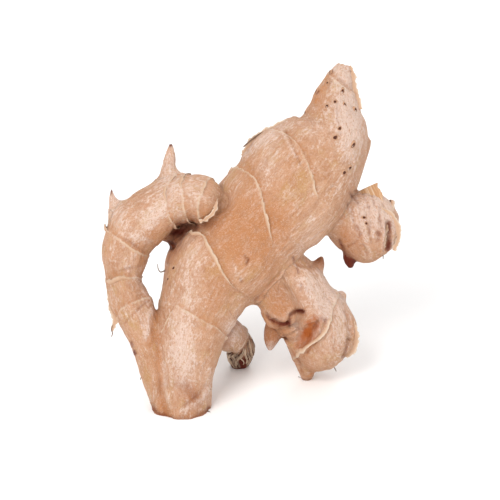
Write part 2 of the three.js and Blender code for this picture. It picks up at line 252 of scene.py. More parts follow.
@dataclass(frozen=True)
class Limb:
    """One limb, bud, hollow or film: oval sections along a spine.

    Args:
        name: What it is.
        rows: Rows of x, y, z, half width and half depth in mm.
        rings: Leaf scars: distance at the right, back, left and front, the sheath tip's angle and height, and
            for each stretch where the scar has healed, the angle of its middle and its reach.
        uneven: Share of its radius by which it is uneven.
        grain_deg: Direction of its grain over the x axis, if it doesn't run along the limb.
    """

    name: str
    rows: Rows
    rings: Rows = ()
    uneven: float = 0.0
    grain_deg: float | None = None

    @cached_property
    def spine(self) -> Spine:
        """The limb's spine."""
        return Spine(self.rows)

    def swell(self, along: Array, angle: Array) -> Array:
        """Gives the uneven growth: a sum of waves of 2, 3 and 5 lobes that turn slowly along the limb.

        Args:
            along: Distances in mm.
            angle: Angles round the limb.

        Returns:
            The factor on the radius.
        """
        waves = (
            np.sin(2 * angle + along / 13)
            + 0.7 * np.sin(3 * angle - along / 9 + 1.3)
            + 0.5 * np.sin(5 * angle + along / 5 + 4.1)
        )
        return 1 + self.uneven * waves

    def surface(self, along: Array, angle: Array, raised: Any = 0.0) -> Array:
        """Gives points on or over the skin: middle + sideways cos(angle) width + through sin(angle) depth.

        Args:
            along: Distances in mm.
            angle: Angles round the limb.
            raised: Height over the skin in mm.

        Returns:
            Points of the hand in mm.
        """
        values, _, sideways, through = self.spine.sections(along)
        swell = self.swell(along, angle)
        across = np.cos(angle) * (values[..., 3] * swell + raised)
        inwards = np.sin(angle) * (values[..., 4] * swell + raised)
        return values[..., :3] + sideways * across[..., None] + through * inwards[..., None]

    def closed_skin(self, step: float, sides: int) -> tuple[Array, Array]:
        """Makes the limb's closed surface as a grid of distance by angle.

        Args:
            step: Distance between rows of points in mm.
            sides: Points round a row.

        Returns:
            The points, and the faces as triangles.
        """
        count = max(6, int(self.spine.length / step))
        grid = np.meshgrid(np.linspace(0, self.spine.length, count), turns(sides), indexing="ij")
        return capped(self.surface(*grid), self.spine.values[[0, -1], :3])

    def place(self, points: Array) -> Place:
        """Finds where points lie on the limb: the nearest spot of the spine, then the angle and the height.

        Args:
            points: Points of the hand in mm.

        Returns:
            Their places.
        """
        spine = self.spine
        line = spine.values[::2, :3]
        squared = (line**2).sum(axis=1)[None, :] - 2 * points @ line.T
        nearest = squared.argmin(axis=1) * 2
        ahead = dots(points - spine.values[nearest, :3], spine.tangents[nearest])
        along = np.clip(spine.along[nearest] + ahead, 0, spine.length)
        values, tangent, sideways, through = spine.sections(along)
        outwards = points - values[:, :3]
        across = dots(outwards, sideways) / values[:, 3]
        inwards = dots(outwards, through) / values[:, 4]
        angle = np.arctan2(inwards, across) % FULL_TURN
        radius = np.hypot(np.cos(angle) * values[:, 3], np.sin(angle) * values[:, 4])
        radius = radius * self.swell(along, angle)
        distance = np.sqrt((np.hypot(across, inwards) * radius) ** 2 + dots(outwards, tangent) ** 2)
        return Place(along, angle, distance - radius, radius)

    def on_front(self, x: float, z: float) -> tuple[float, float]:
        """Finds the limb's front surface behind a point of the hand's plane.

        Args:
            x: The point's distance to the right, in mm.
            z: The point's height, in mm.

        Returns:
            The distance along the limb and the angle round it.
        """
        offset = np.array([x, z]) - self.spine.values[:, [0, 2]]
        nearest = int(np.hypot(*offset.T).argmin())
        tangent = self.spine.tangents[nearest]
        across = offset[nearest, 0] * tangent[2] - offset[nearest, 1] * tangent[0]
        side = float(np.clip(across / self.spine.values[nearest, 3], -1, 1))
        return float(self.spine.along[nearest]), FULL_TURN - math.acos(side)


def ring_at(ring: Numbers, angle: Array) -> Array:
    """Gives the distance of a leaf scar at some angles.

    It is a smooth curve of one and two waves through the right, back, left and front distances, and the
    sheath's tip is added as a peak that falls off as (1 - turn / reach) to the power of 1.5.

    Args:
        ring: Distances at the right, back, left and front, the tip's angle in degrees and its height.
        angle: Angles round the limb.

    Returns:
        Distances along the limb in mm.
    """
    right, back, left, front, tip_deg, tip_height = ring[:6]
    wave = (
        (right + back + left + front) / 4
        + (right - left) / 2 * np.cos(angle)
        + (back - front) / 2 * np.sin(angle)
        + (right + left - back - front) / 4 * np.cos(2 * angle)
    )
    return wave + tip_height * np.clip(1 - turn_from(angle, tip_deg) / TIP_REACH, 0, 1) ** 1.5


def healed(ring: Numbers, angle: Array) -> Array:
    """Gives how far a leaf scar has healed at some angles: the highest of the bells round its gaps' middles.

    Args:
        ring: The scar's numbers.
        angle: Angles round the limb.

    Returns:
        0 where it is whole and 1 where nothing is left of it.
    """
    most = np.zeros_like(angle)
    for middle, reach in zip(ring[6::2], ring[7::2]):
        most = np.maximum(most, bell(turn_from(angle, middle) / math.radians(reach)))
    return ramp(most, 0.15, 0.75)


def grid_faces(rows: int, columns: int) -> Array:
    """Lists the faces of a grid of points kept row by row, where each row closes on itself.

    Args:
        rows: Rows of points.
        columns: Points in a row.

    Returns:
        Faces of four points each.
    """
    row, column = np.meshgrid(np.arange(rows - 1), np.arange(columns), indexing="ij")
    row, column = row.ravel(), column.ravel()
    near, far = row * columns + column, row * columns + (column + 1) % columns
    return np.column_stack([near, far, far + columns, near + columns])


def capped(skin: Array, ends: Array) -> tuple[Array, Array]:
    """Closes a grid of rows that run round, with a fan at either end that meets in a point of its own.

    Args:
        skin: Points by row and by place in the row.
        ends: The points where the fans at the first and at the last row meet.

    Returns:
        The points, and the faces as triangles.
    """
    rows, sides = skin.shape[:2]
    quads = grid_faces(rows, sides)
    side = np.arange(sides)
    after, top, middle = (side + 1) % sides, (rows - 1) * sides, np.full(sides, rows * sides)
    first = np.column_stack([middle, after, side])
    last = np.column_stack([middle + 1, top + side, top + after])
    faces = np.vstack([quads[:, [0, 1, 2]], quads[:, [0, 2, 3]], first, last])
    return np.vstack([skin.reshape(-1, 3), ends]), faces


def joined(parts: Sequence[tuple[Array, ...]]) -> list[Array]:
    """Joins grids into one.

    Args:
        parts: Points, faces, and numbers on the points, of every grid.

    Returns:
        The same for all of them together.
    """
    starts = np.cumsum([0, *(len(part[0]) for part in parts)])
    moved = [(part[0], part[1] + start, *part[2:]) for part, start in zip(parts, starts)]
    return [np.concatenate(column) for column in zip(*moved)]


def mesh_from(name: str, points: Array, faces: Array) -> bpy.types.Mesh:
    """Puts points and faces into a new mesh.

    Args:
        name: The mesh's name.
        points: Points in metres.
        faces: Faces that all have the same number of points.

    Returns:
        The mesh, with smooth faces.
    """
    mesh = bpy.data.meshes.new(name)
    starts = np.arange(0, faces.size, faces.shape[1], dtype=np.int32)
    mesh.vertices.add(len(points))
    mesh.loops.add(faces.size)
    mesh.loops.foreach_set("vertex_index", faces.astype(np.int32).ravel())
    mesh.polygons.add(len(faces))
    mesh.polygons.foreach_set("loop_start", starts)
    mesh.polygons.foreach_set("use_smooth", np.ones(len(faces), dtype=bool))
    mesh.vertices.foreach_set("co", points.astype(np.float32).ravel())
    mesh.update(calc_edges=True)
    return mesh


def vectors_of(items: Any, name: str) -> Array:
    """Returns one vector of every item in a mesh's list, one a row."""
    flat = np.empty(len(items) * 3, dtype=np.float32)
    items.foreach_get(name, flat)
    return flat.reshape(-1, 3).astype(float)


def move_points(mesh: bpy.types.Mesh, points: Array) -> None:
    """Moves a mesh's points to new places in metres."""
    mesh.vertices.foreach_set("co", points.astype(np.float32).ravel())
    mesh.update()


def keep_on_points(mesh: bpy.types.Mesh, name: str, values: Array) -> None:
    """Stores numbers or vectors on a mesh's points for its material to read.

    Args:
        mesh: The mesh.
        name: The attribute's name.
        values: One number or one vector of three for each point.
    """
    kind, slot = ("FLOAT_VECTOR", "vector") if values.ndim == 2 else ("FLOAT", "value")
    attribute = mesh.attributes.new(name, kind, "POINT")
    attribute.data.foreach_set(slot, values.astype(np.float32).ravel())


def add_object(name: str, mesh: bpy.types.Mesh, *materials: bpy.types.Material) -> bpy.types.Object:
    """Shows a mesh in the scene, at the origin.

    Args:
        name: The object's name.
        mesh: Its mesh.
        materials: Its materials.

    Returns:
        The object.
    """
    for material in materials:
        mesh.materials.append(material)
    shown = bpy.data.objects.new(name, mesh)
    bpy.context.scene.collection.objects.link(shown)
    return shown


def piece_of(
    name: str, parts: Sequence[tuple[Array, ...]], kept: Sequence[str], material: bpy.types.Material
) -> bpy.types.Object:
    """Makes one piece of grids of the hand, none of it below the floor.

    Args:
        name: The piece's name.
        parts: Points in mm, faces, and numbers on the points, of every grid.
        kept: What the numbers are called for the material.
        material: The piece's material.

    Returns:
        The piece.
    """
    points, faces, *numbers = joined(parts)
    row = STANCE.to_row(points)
    row[:, 2] = np.maximum(row[:, 2], 0)
    mesh = mesh_from(name, row, faces)
    for key, values in zip(kept, numbers):
        keep_on_points(mesh, key, values)
    return add_object(name, mesh, material)


LIMBS: tuple[Limb, ...] = (
    Limb(
        "main joint chain",
        (
            (-21.8, -0.4, -8, 12, 9.6), (-21.6, 0, 3.2, 11.8, 9.8), (-20.4, 0.4, 14.6, 11, 10.8),
            (-18.8, 0.8, 24.4, 11.8, 12.4), (-16.8, 1.2, 37.4, 15, 14.2), (-13.4, 1.2, 48.2, 17.4, 15.8),
            (-8.4, 1, 58.6, 21, 17), (-1, 0.4, 65.8, 21.2, 17.8), (4.6, 0, 73.6, 20.6, 18.2),
            (11.6, -0.6, 82, 21, 18.5), (18.6, -1, 88.4, 22.5, 18.5), (24.8, -0.8, 96.4, 22.8, 17.8),
            (31.4, 0.4, 103.8, 20.8, 16.2), (38.2, 1.8, 113.6, 16, 13.4), (39.8, 2.6, 122.4, 11.2, 10.6),
            (40.4, 3.2, 128.8, 8.3, 8.4), (41.6, 3.8, 134, 5.9, 6.2), (42.9, 4.2, 138, 4.5, 4.6),
            (43.9, 4.6, 141.4, 2.9, 3),
        ),
        rings=(
            (42, 44, 32, 47, 240, 9), (62, 72, 70, 73, 232, 3, 338, 38, 186, 24),
            (80, 98, 102, 101, 236, 2, 338, 34, 80, 45), (107, 122, 125, 123, 228, 2, 334, 34),
            (158, 160, 164, 161, 200, 1),
        ),
        uneven=0.022,
    ),
    Limb(
        "curled finger",
        (
            (-27, -0.8, -8, 6, 6.4), (-29.4, -1.2, 10.4, 6, 6.8), (-31.4, -1.8, 18.4, 5.8, 7.4),
            (-34.4, -2.4, 27.6, 5.8, 8), (-37.6, -3, 37.2, 7.4, 8.4), (-41.8, -3.4, 46.8, 8.1, 8.2),
            (-44, -3.8, 53.2, 7, 7.6), (-44.2, -4.2, 59.2, 8, 8), (-43.4, -4.6, 67.2, 9.6, 8.8),
            (-40.2, -5, 75.6, 11.2, 9.4), (-35, -5.6, 80, 10.6, 9.4), (-29, -6.8, 84.4, 10.6, 9.6),
            (-22, -8.6, 87.2, 9.9, 9.6), (-15, -11, 87.6, 9.6, 9.2), (-10.4, -12.6, 87, 8.4, 8.2),
            (-7.8, -13.4, 86.4, 6.2, 6.4), (-6.4, -13.8, 86, 3.4, 3.6),
        ),
        rings=(
            (55, 55, 52.6, 56.5, 240, 1), (67, 67, 66.4, 67.2, 270, 1), (77.5, 81, 84, 80.5, 0, 0),
            (104, 106, 108.5, 106, 200, 2), (114.5, 113, 113, 113.5, 270, 1), (121, 121, 121, 121, 90, 1),
        ),
        uneven=0.03,
    ),
    Limb(
        "neck of the lower lobe",
        (
            (8, 2, 60.6, 8.6, 8.6), (14.4, 3, 53.6, 7.6, 8.4), (17.6, 4.4, 46.6, 8.2, 8.4),
            (20.4, 6, 41.6, 8.4, 8), (21.6, 7, 39, 6.4, 6),
        ),
        uneven=0.03,
    ),
    Limb(
        "lower lobe",
        (
            (15.6, 3, 61.6, 8.6, 8), (24.4, 6, 54.6, 9.8, 9.6), (29, 9.6, 46.4, 10.8, 11.2),
            (33.6, 13.6, 38.8, 12.9, 12.8), (35.4, 17, 32, 14.2, 13.2), (37.4, 20, 26.4, 12.4, 11.4),
            (39.4, 22, 23, 7.6, 7.4), (40.8, 23, 21, 3, 3),
        ),
        rings=((43, 34, 25, 31.5, 350, 0.5),),
        uneven=0.035,
    ),
    Limb(
        "upper lobe",
        (
            (37, 4, 84, 8, 8), (44.4, 6, 80.8, 11, 9.6), (50.4, 7, 78, 13.3, 11.6),
            (55.2, 8, 75.8, 13.9, 12.4), (59.6, 8.5, 74, 12, 11.2), (62.8, 9, 72.8, 7.8, 8),
            (64.8, 9.2, 72.2, 3.4, 3.4),
        ),
        rings=((25.5, 25, 24.5, 25, 300, 1, 290, 50),),
        uneven=0.035,
        grain_deg=-66,
    ),
    Limb(
        "fibrous stub",
        (
            (-12, 2, 34, 7, 7), (-4.6, 12, 33.8, 6.8, 6.8), (-0.8, 19, 31.6, 5.8, 6), (1.6, 26, 28, 5, 5),
            (2, 31, 23.8, 4.4, 4.4), (1.8, 34.2, 19.8, 3.2, 3.4),
        ),
        rings=((20, 22, 22, 21, 120, 2),),
        uneven=0.06,
    ),
)

BUD_ROWS: dict[str, Rows] = {
    "bud on top of the finger": (
        (-27, -6.5, 89, 7, 5.6), (-26.4, -6, 96.4, 5.4, 4.4), (-26, -5.4, 101.6, 3.8, 3.2),
        (-25.8, -5, 106.4, 2.4, 2.1), (-25.5, -4.6, 110, 1, 1),
    ),
    "spike at the finger's bend": (
        (-45.2, -5, 75, 6, 5), (-47.4, -5, 81, 4.4, 4), (-48.6, -5, 84.8, 3.2, 2.8),
        (-48.9, -4.8, 88.8, 1.8, 1.6), (-49.2, -4.5, 92.4, 0.6, 0.6),
    ),
    "shoulder behind the finger's tip": (
        (-31, 0.6, 76, 5, 5), (-24, 1.2, 75.6, 7, 5.6), (-17, 1.6, 75, 8, 6.4), (-8, 2, 74, 8, 7),
    ),
    "resting tip of the lower lobe": (
        (29, 13, 32, 9.4, 8.4), (28.8, 17.4, 25.4, 6.4, 6.4), (28.9, 20.8, 20, 4.2, 4.6),
        (29.1, 23.4, 16.4, 3, 3.2), (29.2, 25.2, 13.8, 1.9, 2),
    ),
    "small bud under the lower lobe": (
        (19.6, 9.4, 41, 6, 5), (16, 11, 35.6, 4.6, 4), (14.4, 12.2, 30.4, 3.2, 3),
        (13.8, 13, 26.4, 1.1, 1.1),
    ),
    "first sheath tip on the lower lobe": (
        (28, 7, 53, 7, 4.6), (31, 7.4, 58, 4.6, 2.8), (33.6, 8, 61.6, 2.4, 1.6), (35, 8.4, 64.4, 0.7, 0.7),
    ),
    "second sheath tip on the lower lobe": (
        (37.6, 13.6, 42.6, 6.6, 5), (41, 14.2, 46.6, 4.2, 2.6), (43.2, 14.8, 49, 2.6, 1.5),
        (44.2, 15.2, 50.2, 1.6, 0.8),
    ),
    "torn sheath on the upper lobe": (
        (56.4, 7.4, 84, 6.4, 5), (54.8, 6.6, 88.4, 4.6, 2.6), (53.5, 6, 92.2, 3.7, 1.2),
    ),
    "dark bud under the upper lobe": (
        (48.6, 8.6, 72, 6, 5.4), (46.8, 9, 66.4, 3.9, 3.8), (46.4, 9.4, 62.8, 2.7, 2.6),
        (46.8, 9.8, 59.8, 1.2, 1.2),
    ),
    "sheath edge on the right shoulder": (
        (45.4, 0.6, 92, 3.4, 8), (48.8, 1.2, 101, 2.8, 6.4), (52, 1.6, 107.6, 2, 3.8),
        (54, 2, 111.8, 0.9, 1.3),
    ),
    "margin beside the scoop of the lower lobe": (
        (34.2, 2.8, 39, 0.7, 1.2), (32.6, 3.8, 35.4, 1, 1.9), (30.6, 5.2, 31.6, 1, 1.9),
        (28.2, 7.6, 28.4, 0.9, 1.9), (25.4, 10.6, 25.6, 0.6, 1.2),
    ),
    "web beside the small bud": (
        (17, 9.8, 38, 2.8, 3.2), (20, 8.6, 36, 3.4, 4), (23.4, 8.2, 34.8, 3.8, 4.6), (26.8, 9, 34, 3.4, 4),
    ),
    "scar of a lobe broken off the back": (
        (2, 4, 64, 10, 9), (6, 12, 70, 11, 10), (8.4, 17.6, 75, 9.6, 8.6), (9.4, 20.4, 77.6, 6.8, 6),
    ),
}
BUDS = tuple(Limb(name, rows) for name, rows in BUD_ROWS.items())

HOLLOW_ROWS: dict[str, Rows] = {
    "scoop in the lower lobe": (
        (33.4, 2, 39.4, 0.8, 1), (31.6, 2.6, 36.6, 2.2, 1.8), (29.2, 4, 33.4, 3, 2.4),
        (27.2, 6, 30.8, 2.4, 2.2), (25.6, 8.2, 28.6, 0.8, 1.2),
    ),
    "gap at the lower lobe's right edge": (
        (44.2, 8, 42.4, 0.5, 1), (46, 9.4, 38, 0.9, 2), (46.4, 10.6, 33, 1.2, 2.4),
        (44.8, 11, 28.4, 0.6, 1.2),
    ),
    "gap at the upper lobe's end": (
        (60.6, -0.8, 78.8, 0.5, 1), (61.2, -1.6, 75.2, 0.9, 2.4), (61, -1.4, 70.6, 1.3, 3),
        (60, 0.6, 66.4, 0.6, 1.4),
    ),
}
HOLLOWS = tuple(Limb(name, rows) for name, rows in HOLLOW_ROWS.items())

FILMS: tuple[Limb, ...] = (
    Limb(
        "film on the left edge of the main joint",
        (
            (3.2, -1, 104.6, 0.8, 0.12), (5.6, -1.2, 108.4, 1.7, 0.12), (9.4, -1.4, 111.8, 2, 0.12),
            (14.4, -1.2, 114.8, 1.8, 0.12), (19.4, -0.8, 117.2, 1.7, 0.12), (24.4, -0.4, 119.4, 1.2, 0.12),
        ),
        uneven=0.1,
    ),
    Limb(
        "torn edge at the finger's end",
        (
            (-12.2, -14.6, 93.2, 0.2, 0.12), (-9.4, -16.2, 90.4, 0.6, 0.12), (-7.6, -16.8, 86.6, 0.8, 0.12),
            (-8, -17, 82.8, 0.7, 0.12), (-10.8, -17, 79.8, 0.6, 0.12), (-14, -16.4, 78.4, 0.3, 0.12),
        ),
        uneven=0.16,
    ),
    Limb(
        "fringe at the finger's left",
        (
            (-50, -4, 52, 0.7, 0.1), (-49.4, -4.2, 47.4, 1.2, 0.1), (-48.4, -4.4, 43, 1.5, 0.1),
            (-47.4, -4.6, 39.6, 1.1, 0.1), (-48.6, -4.8, 36.6, 0.5, 0.1), (-49, -5, 33.6, 0.3, 0.1),
        ),
        uneven=0.14,
    ),
    Limb(
        "outer lip of the lower lobe",
        (
            (44.6, 12, 42, 0.5, 0.12), (46.8, 12.4, 38.4, 1.1, 0.14), (48.4, 12.8, 34.4, 1.3, 0.14),
            (48.6, 13, 30.4, 1.2, 0.14), (47.2, 13.2, 26.8, 1.3, 0.14), (44.6, 13.4, 24.2, 0.9, 0.12),
        ),
        uneven=0.12,
    ),
    Limb(
        "inner lip of the lower lobe",
        (
            (43.6, 9, 34.4, 0.4, 0.12), (43.4, 8.8, 31, 0.9, 0.14), (42.4, 9, 27.4, 1, 0.14),
            (41.2, 10, 23.6, 0.6, 0.12),
        ),
        uneven=0.1,
    ),
    Limb(
        "sliver at the tip",
        (
            (39, 3, 137.2, 0.8, 0.12), (40, 3.4, 139.8, 0.7, 0.12), (41.6, 3.8, 142.2, 0.3, 0.1),
        ),
    ),
    Limb(
        "torn film right of the tip",
        (
            (46, 2, 141, 0.6, 0.12), (47.2, 1.6, 137.4, 1, 0.12), (47.6, 1, 132.6, 1.1, 0.12),
            (48.8, 0, 128, 1.1, 0.12), (50.2, -1.4, 123.4, 0.6, 0.12),
        ),
        uneven=0.16,
    ),
    Limb(
        "flap on the upper lobe",
        (
            (57.4, -1.4, 80, 1, 0.2), (56.8, -0.4, 83.6, 2.8, 0.3), (55.4, 1.8, 87.8, 3.8, 0.35),
            (53.8, 3.4, 91.4, 4, 0.35), (53.3, 3.8, 92.5, 3.8, 0.3),
        ),
    ),
    Limb(
        "film at the end of the upper lobe",
        (
            (57, -1.6, 84.6, 0.6, 0.12), (61.4, -1.4, 82, 1, 0.12), (64.6, 0, 77.4, 1.1, 0.12),
            (65.4, 1.4, 72, 1, 0.12), (63.6, 1.6, 67, 0.7, 0.12),
        ),
        uneven=0.14,
    ),
)


class Value:
    """A number socket of a shader, on which Python sums add Math nodes."""

    def __init__(self, shader: "Shader", socket: bpy.types.NodeSocket) -> None:
        """Keeps the shader and the socket."""
        self.shader = shader
        self.socket = socket

    def maths(self, operation: str, *others: Any) -> "Value":
        """Adds a Math node.

        Args:
            operation: The node's operation.
            others: Its inputs, as numbers or values.

        Returns:
            The node's result.
        """
        node = self.shader.node("ShaderNodeMath", {"operation": operation}, dict(enumerate(others)))
        return Value(self.shader, node.outputs[0])

    def __add__(self, other: Any) -> "Value":
        """Returns self + other."""
        return self.maths("ADD", self, other)

    __radd__ = __add__

    def __sub__(self, other: Any) -> "Value":
        """Returns self - other."""
        return self.maths("SUBTRACT", self, other)

    def __rsub__(self, other: Any) -> "Value":
        """Returns other - self."""
        return self.maths("SUBTRACT", other, self)

    def __mul__(self, other: Any) -> "Value":
        """Returns self * other."""
        return self.maths("MULTIPLY", self, other)

    __rmul__ = __mul__

    def __abs__(self) -> "Value":
        """Returns the value without its sign."""
        return self.maths("ABSOLUTE", self)

    def rise(self, low: float, high: float) -> "Value":
        """Returns a smooth ramp from 0 at low to 1 at high."""
        inputs = {"Value": self, "From Min": low, "From Max": high}
        node = self.shader.node("ShaderNodeMapRange", {"interpolation_type": "SMOOTHSTEP"}, inputs)
        return Value(self.shader, node.outputs["Result"])


class Shader:
    """Builds one material's nodes."""

    def __init__(self, name: str) -> None:
        """Starts an empty material.

        Args:
            name: The material's name.
        """
        self.material = bpy.data.materials.new(name)
        self.material.use_nodes = True
        self.tree = self.material.node_tree
        self.tree.nodes.clear()

    def node(self, kind: str, settings: dict[str, Any], inputs: dict[Any, Any]) -> bpy.types.Node:
        """Adds a node.

        Args:
            kind: The node's type.
            settings: Its settings, set before its sockets.
            inputs: Its sockets by name or number, each with a number, a colour, a socket or a value.

        Returns:
            The node.
        """
        node = self.tree.nodes.new(kind)
        for name, setting in settings.items():
            setattr(node, name, setting)
        for key, given in inputs.items():
            source = given.socket if isinstance(given, Value) else given
            if isinstance(source, bpy.types.NodeSocket):
                self.tree.links.new(source, node.inputs[key])
            else:
                node.inputs[key].default_value = source
        return node

    def number(self, name: str) -> Value:
        """Returns a number that is stored on the mesh's points."""
        return Value(self, self.node("ShaderNodeAttribute", {"attribute_name": name}, {}).outputs["Fac"])

    def vector(self, name: str) -> bpy.types.NodeSocket:
        """Returns a vector that is stored on the mesh's points."""
        return self.node("ShaderNodeAttribute", {"attribute_name": name}, {}).outputs["Vector"]

    def object_place(self) -> bpy.types.NodeSocket:
        """Returns the place in Object coordinates, in metres."""
        return self.node("ShaderNodeTexCoord", {}, {}).outputs["Object"]

    def noise(
        self, place: Any, scale: float, detail: float, roughness: float = 0.55, along: float = 1.0
    ) -> Value:
        """Adds noise.

        Args:
            place: Where it is read.
            scale: Lumps to one unit of the place.
            detail: Finer layers of it.
            roughness: Share that each finer layer keeps.
            along: Factor on the third part of the place, the distance along the limb.

        Returns:
            The noise, round 0.5.
        """
        if along != 1.0:
            inputs = {0: place, 1: (1, 1, along)}
            place = self.node("ShaderNodeVectorMath", {"operation": "MULTIPLY"}, inputs).outputs[0]
        inputs = {"Vector": place, "Scale": scale, "Detail": detail, "Roughness": roughness}
        return Value(self, self.node("ShaderNodeTexNoise", {}, inputs).outputs[0])

    def layered(self, colour: Any, *layers: tuple[Any, Any]) -> bpy.types.NodeSocket:
        """Lays colours over a first one.

        Args:
            colour: The first colour.
            layers: Share and colour of every layer, in order.

        Returns:
            The mixed colour's socket.
        """
        for share, tint in layers:
            settings = {"data_type": "RGBA", "clamp_factor": True}
            colour = self.node("ShaderNodeMix", settings, {0: share, 6: colour, 7: tint}).outputs[2]
        return colour

    def finish(
        self, colour: Any, roughness: Any, height: Any = None, depth_mm: float = 0.2, **constants: Any
    ) -> bpy.types.Material:
        """Ends the material in one surface.

        Args:
            colour: A colour or a colour socket.
            roughness: A number or a value.
            height: The bumps' height, from 0 to 1, if there are any.
            depth_mm: How much a height of 1 is.
            constants: Other sockets by name, with _ for each space.

        Returns:
            The material.
        """
        inputs = {"Base Color": colour, "Roughness": roughness}
        inputs |= {name.replace("_", " "): value for name, value in constants.items()}
        if height is not None:
            bump = {"Height": height, "Distance": depth_mm * MM, "Strength": 1.0}
            inputs["Normal"] = self.node("ShaderNodeBump", {}, bump).outputs["Normal"]
        surface = self.node("ShaderNodeBsdfPrincipled", {}, inputs)
        self.node("ShaderNodeOutputMaterial", {}, {"Surface": surface.outputs["BSDF"]})
        return self.material


@dataclass(frozen=True)
class SkinFinish:
    """The dry skin: tan with pinkish flecks and streaks, pale scar lines and brown lines.

    Shade is painted in the creases, in hollows and just past the scars; highlights among the pale flecks.

    Args:
        tan: The skin's main colour.
        deep: Its colour in darker blotches.
        warm: Its colour where it is thin and orange, and painted warm shade in hollows and past the scars.
        ochre: Its colour in yellowish patches.
        pale: The dry pinkish flecks and pale patches, some of them painted highlights.
        glint: The palest flecks, a painted highlight where the skin is painted pale.
        cream: The edges of the leaf scars.
        brown: Brown lines, and painted shade in the creases.
        orange: The scoop in the lower lobe: orange tone with painted shade in the hollow.
        dark: Dried tips and pits, and painted shade of the dark strokes.
        roughness: Roughness of the smoothest skin.
        bump_mm: Height of the fine relief.
    """

    tan: Numbers = skin_tone(216, 166, 130)
    deep: Numbers = skin_tone(194, 138, 98)
    warm: Numbers = skin_tone(202, 136, 86)
    ochre: Numbers = skin_tone(206, 162, 108)
    pale: Numbers = skin_tone(240, 211, 194)
    glint: Numbers = skin_tone(255, 243, 236)
    cream: Numbers = skin_tone(240, 214, 188)
    brown: Numbers = skin_tone(132, 62, 20)
    orange: Numbers = skin_tone(186, 98, 38)
    dark: Numbers = skin_tone(108, 34, 6)
    roughness: float = 0.5
    bump_mm: float = 0.55

    def build(self) -> bpy.types.Material:
        """Mixes the colours by noise that is stretched along the limb and by the numbers on the mesh.

        Returns:
            The material.
        """
        shader = Shader("ginger_skin")
        flow = shader.vector("flow")
        streak = shader.noise(flow, 0.8, 5, 0.66, 0.22)
        fleck = shader.noise(flow, 1.05, 5, 0.72, 0.7)
        blotch = shader.noise(flow, 0.13, 4, 0.6, 0.5)
        fine = shader.noise(flow, 2.1, 4, 0.65, 0.4)
        cloud = shader.noise(flow, 0.34, 4, 0.65, 0.7)
        ochre = shader.noise(flow, 0.2, 4, 0.6, 0.6)
        bare = shader.noise(flow, 0.24, 3, 0.6, 0.5).rise(0.4, 0.62)
        grain = shader.noise(flow, 2.4, 3, 0.7)
        thread = shader.noise(flow, 0.55, 2, along=0.1)
        wrinkle = shader.noise(flow, 0.16, 3, along=5.0)
        gap, pale, warm = (shader.number(name) for name in ("gap", "pale", "warm"))

        flecks = (streak.rise(0.48, 0.64) * 0.65 + fleck.rise(0.49, 0.62) * 0.8) * (0.3 + 1.1 * bare)
        flecks = flecks * (1 - 0.6 * warm)
        lines = 1 - abs(thread - 0.5).rise(0.0, 0.012)
        # A band just past each leaf scar, beside the sheath's lip, takes painted shade.
        above = gap.rise(0.05, 0.5) * (1 - gap.rise(0.7, 3.2))
        edge = gap.rise(-1.0, -0.1) * (1 - gap.rise(0.05, 0.4))
        colour = shader.layered(
            self.tan,
            (blotch.rise(0.42, 0.68), self.deep),
            (ochre.rise(0.5, 0.66) * 0.75, self.ochre),
            (warm * (0.65 + 0.6 * streak), self.warm),
            (cloud.rise(0.48, 0.62) * 0.65, self.deep),
            # Pale patches of the skin, together with painted highlights.
            (pale * (0.1 + streak + 0.6 * fleck.rise(0.42, 0.6)) + flecks * 0.6, self.pale),
            (fine.rise(0.53, 0.62) * 0.6, self.deep),
            (grain.rise(0.55, 0.62) * 0.35, self.pale),
            ((1 - grain.rise(0.36, 0.44)) * 0.35, self.warm),
            # Painted highlight flecks where the skin is painted pale.
            (fleck.rise(0.6, 0.7) * pale, self.glint),
            (lines * streak * 0.4, self.brown),
            # Painted shade just past the leaf scars.
            (above * 0.34, self.warm),
            (edge * (0.1 + 0.6 * blotch.rise(0.35, 0.6)), self.cream),
            # Painted shade in the creases between limbs, with the brown strokes.
            (shader.number("crease") * (0.55 + 0.5 * fleck), self.brown),
            # The scoop: orange tone with painted shade in the hollow.
            (shader.number("scoop"), self.orange),
            (shader.number("dark"), self.dark),
        )
        return shader.finish(
            colour,
            self.roughness + 0.2 * streak,
            streak * 0.6 + fine * 0.4 + fleck * 0.65 + wrinkle * 0.35,
            self.bump_mm,
            Subsurface_Weight=0.12,
            Subsurface_Radius=(1.0, 0.5, 0.3),
            Subsurface_Scale=0.0018,
            Specular_IOR_Level=0.26,
        )


@dataclass(frozen=True)
class EdgeFinish:
    """The dry papery edge of a sheath.

    Args:
        root: Skin colour at its root.
        rim: Cream at its torn rim.
        stain: Its stains.
        orange: A stained film.
        rust: Streaks in a stained film.
        roughness: Its roughness.
    """

    root: Numbers = skin_tone(214, 168, 134)
    rim: Numbers = skin_tone(244, 224, 200)
    stain: Numbers = skin_tone(186, 132, 94)
    orange: Numbers = skin_tone(226, 178, 130)
    rust: Numbers = skin_tone(196, 138, 88)
    roughness: float = 0.6

    def build(self, name: str) -> bpy.types.Material:
        """Mixes root and rim by the number on the mesh, with stains by noise.

        Args:
            name: The material's name.

        Returns:
            The material.
        """
        shader = Shader(name)
        flow = shader.vector("flow")
        fibre = shader.noise(flow, 1.6, 4, 0.6, 0.25)
        threads = shader.noise(flow, 1.3, 3, along=0.06)
        stained = shader.number("stained")
        colour = shader.layered(
            self.root,
            (shader.number("rim") * (0.6 + 0.6 * fibre), self.rim),
            (shader.noise(flow, 0.3, 3).rise(0.55, 0.72) * 0.5, self.stain),
            (stained * 0.9, self.orange),
            (stained * threads.rise(0.48, 0.58) * 0.8, self.rust),
            (stained * (1 - threads.rise(0.38, 0.46)) * 0.7, self.rim),
        )
        return shader.finish(colour, self.roughness, fibre, 0.25, Specular_IOR_Level=0.3)


